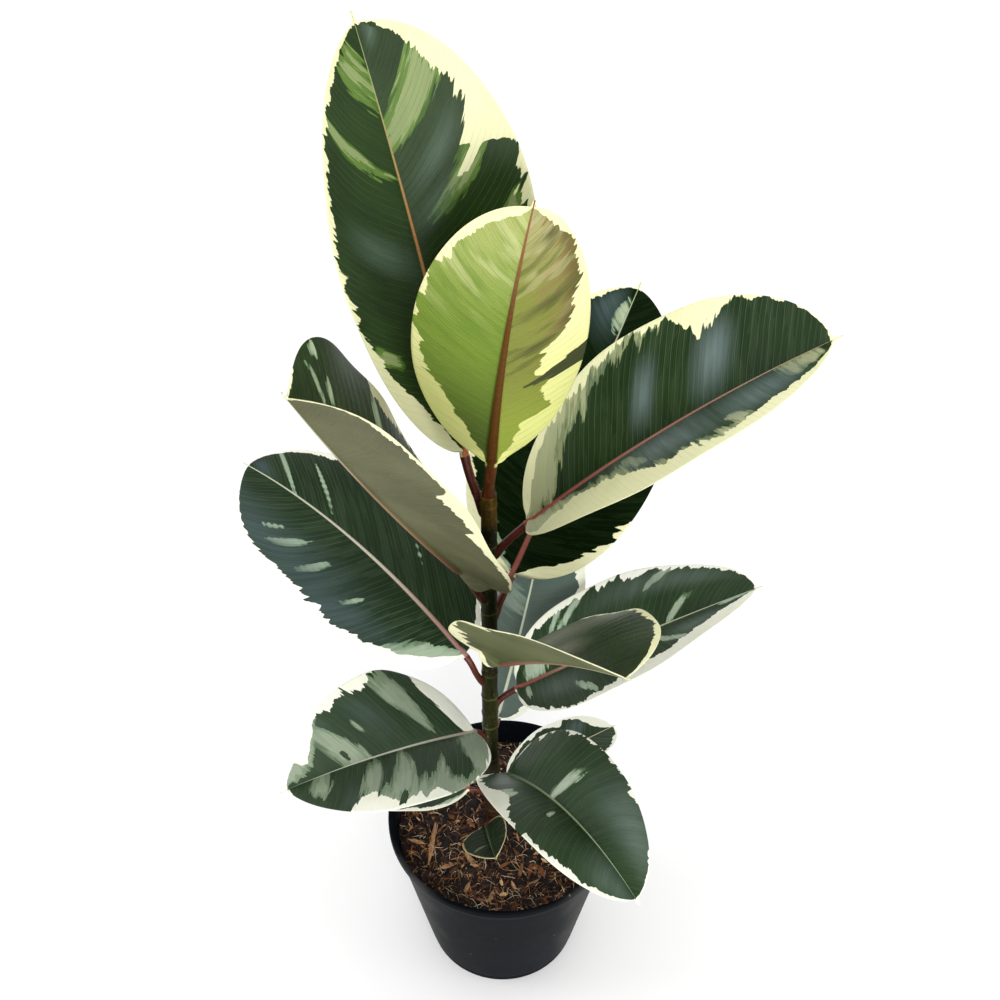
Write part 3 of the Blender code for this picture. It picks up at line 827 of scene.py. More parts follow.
    def dress(self, made: bpy.types.Object, petiole_loops: int, count: int) -> None:
        """Give the petiole's loops, of so many points each, and the blade's two faces their materials."""
        for material in (self.blade.upper(), self.blade.lower(), self.petiole.material()):
            made.data.materials.append(material)
        number = np.arange(len(made.data.polygons))
        row, column = number // count, number % count
        index = np.where((column < self.columns) | (column == count - 1), 0, 1)
        index = np.where(row < petiole_loops - 1, 2, index)
        # The last two rows of faces close the petiole's foot and the blade's tip.
        index[-2 * count:-count] = 2
        made.data.polygons.foreach_set("material_index", index.astype(np.int32))
        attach(made, BODY)
        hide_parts(self.replaces)


def circle(sides: int) -> tuple[np.ndarray, np.ndarray]:
    """Give the angles of points round a circle, and the points at a radius of 1."""
    turn = 2.0 * math.pi * np.arange(sides) / sides
    return turn, np.stack([np.cos(turn), np.sin(turn)], axis=1)


def loft(name: str, points: np.ndarray, rings: int, count: int) -> bpy.types.Object:
    """Join loops of points into one closed smooth mesh.

    Args:
        name: The piece's name.
        points: The loops' points in order, then the first pole and the last pole.
        rings: How many loops there are.
        count: How many points each has.

    Returns:
        The object.
    """
    first, last = len(points) - 2, len(points) - 1
    here = np.arange((rings - 1) * count)
    following = here - here % count + (here % count + 1) % count
    quads = np.stack([here, following, following + count, here + count], axis=1)
    loop = np.arange(count)
    after = (loop + 1) % count
    top = (rings - 1) * count
    bottom_fan = np.stack([np.full(count, first), after, loop], axis=1)
    top_fan = np.stack([np.full(count, last), top + loop, top + after], axis=1)
    faces = quads.tolist() + bottom_fan.tolist() + top_fan.tolist()
    return solid(name, points, faces)


def solid(name: str, points: np.ndarray, faces: Sequence[Sequence[int]]) -> bpy.types.Object:
    """Make a smooth closed mesh with its faces turned outwards.

    Args:
        name: The piece's name.
        points: Its points.
        faces: The points of each face.

    Returns:
        The object.
    """
    mesh = bpy.data.meshes.new(name)
    mesh.from_pydata(points.tolist(), [], faces)
    shape = bmesh.new()
    shape.from_mesh(mesh)
    if shape.calc_volume(signed=True) < 0.0:
        bmesh.ops.reverse_faces(shape, faces=shape.faces)
    shape.to_mesh(mesh)
    shape.free()
    mesh.polygons.foreach_set("use_smooth", np.ones(len(mesh.polygons), dtype=bool))
    made = bpy.data.objects.new(name, mesh)
    bpy.context.scene.collection.objects.link(made)
    return made


def add_field(mesh: bpy.types.Mesh, name: str, values: np.ndarray) -> None:
    """Store a number at each point of a mesh, under the name that a shader reads it by."""
    stored = mesh.attributes.new(name, "FLOAT", "POINT")
    stored.data.foreach_set("value", values.astype(np.float32))


def add_map(mesh: bpy.types.Mesh, name: str, across: np.ndarray, up: np.ndarray) -> None:
    """Store two coordinates at each point of a mesh as a named UV map."""
    corners = np.zeros(len(mesh.loops), dtype=np.int32)
    mesh.loops.foreach_get("vertex_index", corners)
    pairs = np.stack([across[corners], up[corners]], axis=1)
    mesh.uv_layers.new(name=name).data.foreach_set("uv", pairs.astype(np.float32).ravel())


# Stem

STEM_FOOT = (-6.0 * MM, 0.0, 90.0 * MM)
STEM_LEAN = -3.0 * MM
STEM_TOP = 503.0 * MM
SOIL_LEVEL = 130.0 * MM
STEM_LEVELS = (SOIL_LEVEL, SOIL_LEVEL + 100.0 * MM, STEM_TOP)
STEM_RADII = (6.7 * MM, 5.6 * MM, 5.1 * MM)


def stem_centre(height: float) -> np.ndarray:
    """Give the stem's axis at a height: it leans a little to the left above the mix."""
    lean = STEM_LEAN * float(smooth(np.array((height - SOIL_LEVEL) / (120.0 * MM))))
    return np.array([STEM_FOOT[0] + lean, STEM_FOOT[1], height])


def stem_radius(height: float) -> float:
    """Give the stem's radius at a height: thickest at the mix."""
    return float(np.interp(height, STEM_LEVELS, STEM_RADII))


@dataclass(frozen=True)
class StemFinish:
    """Green skin that turns to brown bark at the foot, with pale rings where leaves and sheaths stood."""

    def material(self) -> bpy.types.Material:
        """Make the material."""
        graph = Graph("stem_skin")
        x, y, height = graph.parts(graph.solid_place())
        streak = graph.noise(graph.vector(x * 160.0, y * 160.0, height * 22.0), detail=4.0, roughness=0.6)
        blotch = graph.speckle(60.0, 3.0)
        green = graph.mix(streak.rise(0.38, 0.62), "0e1104", "24270a")
        bark = graph.mix(streak.rise(0.35, 0.65), "160b05", "38200e")
        foot = (height + (blotch - 0.5) * 0.06).rise(0.245, 0.165)
        top = (height + (streak - 0.5) * 0.012).rise(0.470, 0.482)
        ring = graph.stored("ring") * graph.stored("ring") * (blotch.rise(0.3, 0.7) * 0.8)
        speck = graph.speckle(520.0, 2.0)
        colour = graph.coats(
            green,
            (foot, bark),
            (top * 0.8, graph.mix(streak.rise(0.4, 0.6), "4f3a12", "75581f")),
            (ring, "6f6a34"),
            (speck.rise(0.63, 0.7) * 0.35, "8b7a4a"),
        )
        bumps = streak * 0.7 + speck * 0.3
        return graph.dress(colour, 0.42 + speck * 0.2 + foot * 0.2, graph.bump(bumps, 0.6 * MM), gloss=0.2)


@dataclass(frozen=True)
class Stem:
    """The upright stem, ringed above each leaf's foot and below each old sheath."""

    scars: tuple[float, ...] = (162, 185, 206, 226, 264, 278, 298, 324, 350, 366, 391, 417, 434, 457, 494)
    ridge: float = 0.45
    scar_half_width: float = 1.6
    sides: int = 48
    ring_step: float = 0.8

    def profile(self, height: float) -> tuple[float, float]:
        """Give the ringed stem's radius at a height, and how much of a scar lies there, from 0 to 1."""
        off = min(abs(height / MM - scar) for scar in self.scars)
        ring = max(0.0, 1.0 - off / self.scar_half_width)
        swell = 0.22 * math.exp(-((off / 5.0) ** 2))
        return stem_radius(height) + (self.ridge * ring**1.5 + swell * 0.6) * MM, ring

    def build(self) -> bpy.types.Object:
        """Make the stem's mesh."""
        bottom = STEM_FOOT[2]
        steps = round((STEM_TOP - bottom) / (self.ring_step * MM))
        heights = np.linspace(bottom, STEM_TOP, steps + 1)
        turn, around = circle(self.sides)
        rings = []
        marks = []
        for height in heights:
            radius, ring = self.profile(float(height))
            lumps = 0.10 * np.sin(3.0 * turn + height * 55.0) + 0.07 * np.sin(5.0 * turn - height * 90.0)
            reach = radius + lumps * MM - 0.1 * MM
            flat = stem_centre(float(height))[:2] + reach[:, None] * around
            rings.append(np.column_stack([flat, np.full(self.sides, height)]))
            marks.append(np.full(self.sides, ring))
        points = np.vstack([*rings, stem_centre(bottom), stem_centre(STEM_TOP)])
        made = loft("plant_stem", points, len(rings), self.sides)
        add_field(made.data, "ring", np.concatenate([*marks, np.zeros(2)]))
        made.data.materials.append(StemFinish().material())
        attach(made, BODY)
        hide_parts("stem")
        return made


# Pot


@dataclass(frozen=True)
class PotFinish:
    """Black moulded plastic with a satin skin, a little dust and painted reflections in light bands down its
    sides.
    """

    def material(self) -> bpy.types.Material:
        """Make the material."""
        graph = Graph("black_plastic")
        dust = graph.speckle(38.0, 5.0, 0.7)
        pores = graph.speckle(900.0, 2.0)
        smear = graph.speckle(9.0, 3.0)
        # Lighter bands down the pot's left and right sides, as seen from the front: painted reflections,
        # broken up by the smear.
        aside = abs(graph.parts(graph.solid_place())[0] * 12.0 + (dust - 0.5) * 0.4)
        painted_side_reflection = aside.rise(0.45, 0.75) * (1.0 - aside.rise(0.75, 0.98)) * smear.rise(0.2, 0.6)
        specks = graph.speckle(240.0, 1.0).rise(0.79, 0.82)
        colour = graph.coats(
            "06090c",
            (smear.rise(0.3, 0.7), "0d1217"),
            (dust.rise(0.56, 0.8) * 0.25, "2f2e2d"),
            # Painted reflections on the sides.
            (painted_side_reflection * 0.5, "52504e"),
            (specks * 0.4, "8d857a"),
        )
        tilt = graph.bump(pores * 0.6 + smear * 0.4, 0.25 * MM)
        return graph.dress(colour, 0.36 + dust * 0.16 + pores * 0.08, tilt, gloss=0.02)


@dataclass(frozen=True)
class NurseryPot:
    """The tapered black pot: a rolled rim, a stepped foot and a base with a ring channel and drains.

    Lengths are in millimetres. channel holds the radii of the ring channel's two sides.
    """

    sides: int = 160
    height: float = 150.0
    rim_height: float = 8.0
    rim_radius: float = 85.0
    shoulder_radius: float = 82.0
    base_radius: float = 57.5
    foot_radius: float = 56.0
    foot_height: float = 8.0
    wall: float = 1.4
    floor_top: float = 4.5
    channel: tuple[float, float] = (20.0, 49.0)
    channel_depth: float = 2.5
    foot_bevel: float = 1.5
    drains: int = 6
    drain_sides: int = 32
    drain_depth: float = 10.0
    drain_radius: float = 4.5
    drain_circle: float = 36.0

    def outer(self, height: float) -> float:
        """Give the tapered wall's outer radius, in millimetres."""
        rise = (height - self.foot_height) / (self.height - self.rim_height - self.foot_height)
        return self.base_radius + rise * (self.shoulder_radius - self.base_radius)

    def profile(self) -> list[tuple[float, float]]:
        """Give radius and height from the underside out, up, over the rim and down inside."""
        rim_bottom = self.height - self.rim_height
        inner_top = self.outer(self.height) - self.wall
        lip, reach = (self.rim_radius + inner_top) / 2.0, (self.rim_radius - inner_top) / 2.0
        (near, far), deep, bevel = self.channel, self.channel_depth, self.foot_bevel
        foot, step, rim = self.foot_radius, self.foot_height, self.rim_radius
        outline = [(near, 0.0), (near + bevel, deep), (far - bevel, deep), (far, 0.0), (foot - bevel, 0.0)]
        outline += [(foot - bevel + bevel * math.sin(turn), bevel - bevel * math.cos(turn))
                    for turn in np.radians((30.0, 60.0, 90.0))]
        outline += [(foot, step - 1.2), (foot + 0.3, step - 0.5), (self.base_radius - 0.2, step),
                    (self.base_radius, step + 0.8)]
        outline += [(self.outer(height), height) for height in np.linspace(12.0, rim_bottom - 0.6, 14)]
        outline += [(self.shoulder_radius + 0.4, rim_bottom - 0.1), (rim - 0.8, rim_bottom + 0.4),
                    (rim - 0.2, rim_bottom + 1.0), (rim, rim_bottom + 2.0), (rim, self.height - 2.4)]
        outline += [(lip + reach * math.cos(turn), self.height - reach + reach * math.sin(turn))
                    for turn in np.radians((15.0, 40.0, 65.0, 90.0, 115.0, 140.0, 165.0))]
        outline += [(self.outer(height) - self.wall, height) for height in np.linspace(rim_bottom, step, 12)]
        outline += [(self.outer(self.floor_top) - self.wall - 1.2, self.floor_top)]
        return outline

    def build(self) -> bpy.types.Object:
        """Make the pot's mesh and cut its drains."""
        _, around = circle(self.sides)
        rings = [np.column_stack([radius * around, np.full(self.sides, height)])
                 for radius, height in self.profile()]
        points = np.vstack([*rings, [0.0, 0.0, 0.0], [0.0, 0.0, self.floor_top]]) * MM
        made = loft("nursery_pot", points, len(rings), self.sides)
        self.cut_drains(made)
        made.data.materials.append(PotFinish().material())
        made.data.set_sharp_from_angle(angle=math.radians(50.0))
        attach(made, BODY)
        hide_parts("pot")
        return made

    def cut_drains(self, made: bpy.types.Object) -> None:
        """Cut the round drains through the pot's base."""
        shape = bmesh.new()
        depth = self.drain_depth * MM
        for index in range(self.drains):
            angle = 2.0 * math.pi * (index + 0.5) / self.drains
            size = {"radius1": self.drain_radius * MM, "radius2": self.drain_radius * MM, "depth": depth}
            drain = bmesh.ops.create_cone(shape, cap_ends=True, segments=self.drain_sides, **size)
            reach = self.drain_circle * MM
            place = (reach * math.cos(angle), reach * math.sin(angle), self.floor_top * MM)
            bmesh.ops.translate(shape, verts=drain["verts"], vec=place)
        mesh = bpy.data.meshes.new("drains")
        shape.to_mesh(mesh)
        shape.free()
        cutter = bpy.data.objects.new("drains", mesh)
        bpy.context.scene.collection.objects.link(cutter)
        modifier = made.modifiers.new("drains", "BOOLEAN")
        modifier.operation = "DIFFERENCE"
        modifier.solver = "EXACT"
        modifier.object = cutter
        bpy.context.view_layer.update()
        cut = bpy.data.meshes.new_from_object(made.evaluated_get(bpy.context.evaluated_depsgraph_get()))
        made.modifiers.remove(modifier)
        made.data = cut
        bpy.data.objects.remove(cutter, do_unlink=True)


# Potting mix


def turning(axis: int, angle: float) -> np.ndarray:
    """Give the matrix that turns by an angle about X, Y or Z, which are 0, 1 and 2."""
    first, second = (axis + 1) % 3, (axis + 2) % 3
    matrix = np.eye(3)
    matrix[first, first] = matrix[second, second] = math.cos(angle)
    matrix[first, second] = -math.sin(angle)
    matrix[second, first] = math.sin(angle)
    return matrix


@dataclass(frozen=True)
class MixFinish:
    """Damp brown mix, or the flakes and fibres on it, which are lighter by their own shade."""

    name: str
    dark: str
    middle: str
    light: str

    def material(self) -> bpy.types.Material:
        """Make the material."""
        graph = Graph(self.name)
        grain = graph.speckle(420.0, 4.0, 0.65)
        clump = graph.speckle(90.0, 3.0)
        level = graph.stored("shade") + (grain - 0.5) * 0.5
        colour = graph.coats(
            self.dark,
            (level.rise(0.1, 0.6), self.middle),
            (level.rise(0.55, 1.0), self.light),
            (clump.rise(0.5, 0.7) * 0.3, self.dark),
        )
        return graph.dress(colour, 0.72 + grain * 0.2, graph.bump(grain, 0.8 * MM))


MIX_SEED = 12


@dataclass(frozen=True)
class PottingMix:
    """The crumbly surface of the mix, with bark flakes, crumbs and coir fibres lying in it.

    Each strip is one long flake: x, y, heading in degrees, length and breadth. Lengths are in
    millimetres. The finishes are those of the body, the flakes, the crumbs and the fibres.
    """

    pot: NurseryPot
    flakes: int = 460
    crumbs: int = 1500
    fibres: int = 1150
    strips: tuple[tuple[float, float, float, float, float], ...] = (
        (-52.5, -15.0, 83.0, 36.0, 5.0), (-64.0, -14.0, -18.0, 13.0, 3.6), (-23.0, -30.0, -58.0, 19.0, 4.0),
        (-40.0, -34.0, 20.0, 14.0, 3.2), (22.0, -48.0, 35.0, 12.0, 3.0), (-8.0, -58.0, 70.0, 13.0, 3.4),
    )
    finishes: tuple[MixFinish, ...] = (
        MixFinish("damp_mix", "0a0302", "26100a", "4e2c1a"), MixFinish("bark", "1c0a05", "7c4a26", "f2c890"),
        MixFinish("crumbs", "0e0502", "4a2814", "c08a58"), MixFinish("coir", "4a2412", "c08852", "fff0cc"),
    )
    rings: int = 84
    sides: int = 220
    lump_waves: int = 26
    lump_height: float = 0.42
    swell: float = 1.6
    wall_gap: float = 0.3
    hole_radius: float = 6.4
    hole_bottom: float = 92.0
    grain: random.Random = field(default_factory=lambda: random.Random(MIX_SEED))

    def wall(self, height: float) -> float:
        """Give the pot's inner radius at a height, both in metres."""
        return (self.pot.outer(height / MM) - self.pot.wall) * MM

    def level(self, x: np.ndarray, y: np.ndarray) -> np.ndarray:
        """Give the slow swell of the surface."""
        swell = np.sin(90.0 * x + 0.6) * np.cos(75.0 * y) + 0.5 * np.sin(210.0 * y + 130.0 * x)
        return SOIL_LEVEL + self.swell * MM * swell

    def crumble(self, x: np.ndarray, y: np.ndarray) -> np.ndarray:
        """Give the lumps of the surface as a sum of turned waves of falling length."""
        turns = np.random.default_rng(MIX_SEED)
        lumps = np.zeros_like(x)
        for octave in range(self.lump_waves):
            angle, phase = turns.uniform(0.0, 2.0 * math.pi, 2)
            place = x * math.cos(angle) + y * math.sin(angle)
            lumps += np.sin(260.0 * 1.16**octave * place + phase) * 1.16 ** (-0.55 * octave)
        return lumps * self.lump_height * MM

    def surface(self) -> bpy.types.Object:
        """Make the body of the mix."""
        foot = np.array(STEM_FOOT[:2])
        hole, low, gap = self.hole_radius * MM, self.hole_bottom * MM, self.wall_gap * MM
        edge = self.wall(SOIL_LEVEL) - gap
        _, ray = circle(self.sides)
        loops = [np.column_stack([foot + ray * hole, np.full(self.sides, low)])]
        for share in np.linspace(0.0, 1.0, self.rings):
            flat = foot * (1.0 - share) + ray * (hole + share * (edge - hole))
            calm = float(smooth(np.array(share * 12.0)) * smooth(np.array((1.0 - share) * 25.0 + 0.2)))
            height = self.level(flat[:, 0], flat[:, 1]) + self.crumble(flat[:, 0], flat[:, 1]) * calm
            loops.append(np.column_stack([flat, height]))
        bottom = self.pot.floor_top * MM + gap
        loops.append(np.column_stack([ray * (self.wall(bottom) - gap), np.full(self.sides, bottom)]))
        points = np.vstack([*loops, [foot[0], foot[1], low], [0.0, 0.0, bottom]])
        made = loft("mix_body", points, len(loops), self.sides)
        lumps = self.crumble(points[:, 0], points[:, 1])
        # The body is darker in the hollows between its lumps and lighter on their tops: painted shade.
        add_field(made.data, "shade", np.clip(0.22 + lumps / (5.0 * MM), 0.0, 0.5))
        return made

    def spot(self, near: float, margin: float) -> tuple[float, float]:
        """Draw a place on the surface, off the pot's axis and off its wall by two distances in metres."""
        distance = math.sqrt(self.grain.uniform(near**2, (self.wall(SOIL_LEVEL) - margin) ** 2))
        angle = self.grain.uniform(0.0, 2.0 * math.pi)
        return distance * math.cos(angle), distance * math.sin(angle)

    def on_surface(self, x: float, y: float, lift: float) -> np.ndarray:
        """Give the point that stands above the surface by a lift."""
        place = np.array([x]), np.array([y])
        return np.array([x, y, float(self.level(*place)[0] + self.crumble(*place)[0]) + lift])

    def flake_shape(self, length: float, breadth: float, depth: float) -> np.ndarray:
        """Make one splintered flake's points: four loops of six, drawn in at both ends."""
        points = []
        for share, full in ((-0.5, 0.35), (-0.18, 1.0), (0.2, 0.9), (0.5, 0.25)):
            full *= self.grain.uniform(0.7, 1.2)
            for corner in range(6):
                angle = math.pi / 3.0 * corner + self.grain.uniform(-0.3, 0.3)
                points.append((length * share + self.grain.uniform(-0.06, 0.06) * length,
                               breadth / 2.0 * full * math.cos(angle), depth / 2.0 * full * math.sin(angle)))
        return np.array(points).reshape(-1, 6, 3)

    def scatter(self, name: str, bodies: Sequence[Scrap], rounded: bool = False) -> bpy.types.Object:
        """Lay many small bodies on the surface, each half sunk in it, as one piece.

        Args:
            name: The piece's name.
            bodies: The points of each by loop, and how light it is.
            rounded: Whether they are shaded smooth.

        Returns:
            The piece.
        """
        points, faces, shades = [], [], []
        start = 0
        for body, shade in bodies:
            rows, sides, _ = body.shape
            here = start + np.arange(rows * sides).reshape(rows, sides)
            there = np.roll(here, -1, axis=1)
            faces += np.stack([here[:-1], there[:-1], there[1:], here[1:]], axis=2).reshape(-1, 4).tolist()
            faces += [here[0, ::-1].tolist(), here[-1].tolist()]
            points.append(body.reshape(-1, 3))
            shades.append(np.full(rows * sides, shade))
            start += rows * sides
        made = solid(name, np.vstack(points), faces)
        made.data.polygons.foreach_set("use_smooth", np.full(len(made.data.polygons), rounded))
        add_field(made.data, "shade", np.concatenate(shades))
        return made

    def turned(self, body: np.ndarray, place: tuple[float, float], tilt: float, lift: float) -> np.ndarray:
        """Turn a body at random about the upright, tilt it and set it on the surface.

        Args:
            body: Its points about its own middle.
            place: Where its middle lies.
            tilt: The most that it tilts, in radians.
            lift: How far its middle stands above the surface.

        Returns:
            The moved points.
        """
        heading = self.grain.uniform(0.0, 2.0 * math.pi)
        nod, lean = self.grain.uniform(-tilt, tilt), self.grain.uniform(-tilt, tilt)
        moved = body @ (turning(2, heading) @ turning(1, -nod) @ turning(0, lean)).T
        return moved + self.on_surface(*place, lift)

    def flake(self) -> Scrap:
        """Make one flake of bark."""
        length = self.grain.triangular(3.0, 13.0, 4.5) * MM
        breadth = length * self.grain.uniform(0.16, 0.42)
        body = self.flake_shape(length, breadth, breadth * self.grain.uniform(0.3, 0.6))
        place = self.spot(9.0 * MM, length / 2.0 + 2.0 * MM)
        return self.turned(body, place, 0.45, 0.6 * MM), self.grain.triangular(0.0, 1.0, 0.3)

    def strip(self, x: float, y: float, heading: float, length: float, breadth: float) -> Scrap:
        """Make one of the long strips of bark."""
        body = self.flake_shape(length * MM, breadth * MM, breadth * 0.4 * MM)
        return body @ turning(2, math.radians(heading)).T + self.on_surface(x * MM, y * MM, 1.4 * MM), 0.7

    def crumb(self) -> Scrap:
        """Make one crumb of mix."""
        size = self.grain.uniform(1.0, 2.9) * MM
        body = self.flake_shape(size * 1.2, size, size * 0.8)
        place = self.spot(8.0 * MM, 2.5 * MM)
        return self.turned(body, place, 1.2, 0.3 * MM), self.grain.triangular(0.0, 1.0, 0.1)

    def fibre(self) -> Scrap:
        """Make one curved strand of coir."""
        length = self.grain.triangular(3.0, 19.0, 5.0) * MM
        radius = self.grain.triangular(0.1, 0.34, 0.16) * MM
        x, y = self.spot(10.0 * MM, 3.0 * MM)
        heading = self.grain.uniform(0.0, 2.0 * math.pi)
        bend = self.grain.uniform(-2.0, 2.0)
        arch = self.grain.uniform(0.2, 2.2) * MM
        limit = self.wall(SOIL_LEVEL) - 1.5 * MM
        rows = 6
        points = []
        for row in range(rows):
            bow = math.sin(math.pi * row / (rows - 1))
            centre = self.on_surface(x, y, radius + arch * bow - 0.4 * MM * (1.0 - bow))
            for angle in (0.5, 2.6, 4.7):
                level = math.cos(angle)
                beside = [-math.sin(heading) * level, math.cos(heading) * level, math.sin(angle)]
                points.append(centre + radius * np.array(beside))
            x += length / rows * math.cos(heading)
            y += length / rows * math.sin(heading)
            off = math.hypot(x, y)
            if off > limit:
                x, y = x * limit / off, y * limit / off
            heading += bend / rows
        return np.array(points).reshape(rows, 3, 3), self.grain.uniform(0.1, 1.0)

    def build(self) -> list[bpy.types.Object]:
        """Make the mix and what lies on it."""
        body = self.surface()
        bark = [self.flake() for _ in range(self.flakes)] + [self.strip(*place) for place in self.strips]
        pieces = [body, self.scatter("bark_flakes", bark)]
        pieces.append(self.scatter("mix_crumbs", [self.crumb() for _ in range(self.crumbs)]))
        pieces.append(self.scatter("coir_fibres", [self.fibre() for _ in range(self.fibres)], rounded=True))
        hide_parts("potting_soil")
        for piece, finish in zip(pieces, self.finishes):
            piece.data.materials.append(finish.material())
            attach(piece, BODY)
        return pieces


# The fourteen leaves, from the lowest to the newest

YELLOW_EDGED = {"cream": "f2f1c4", "pale": "8ea386"}
WHITE_EDGED = {"cream": "f6f7ea", "pale": "93a98f"}
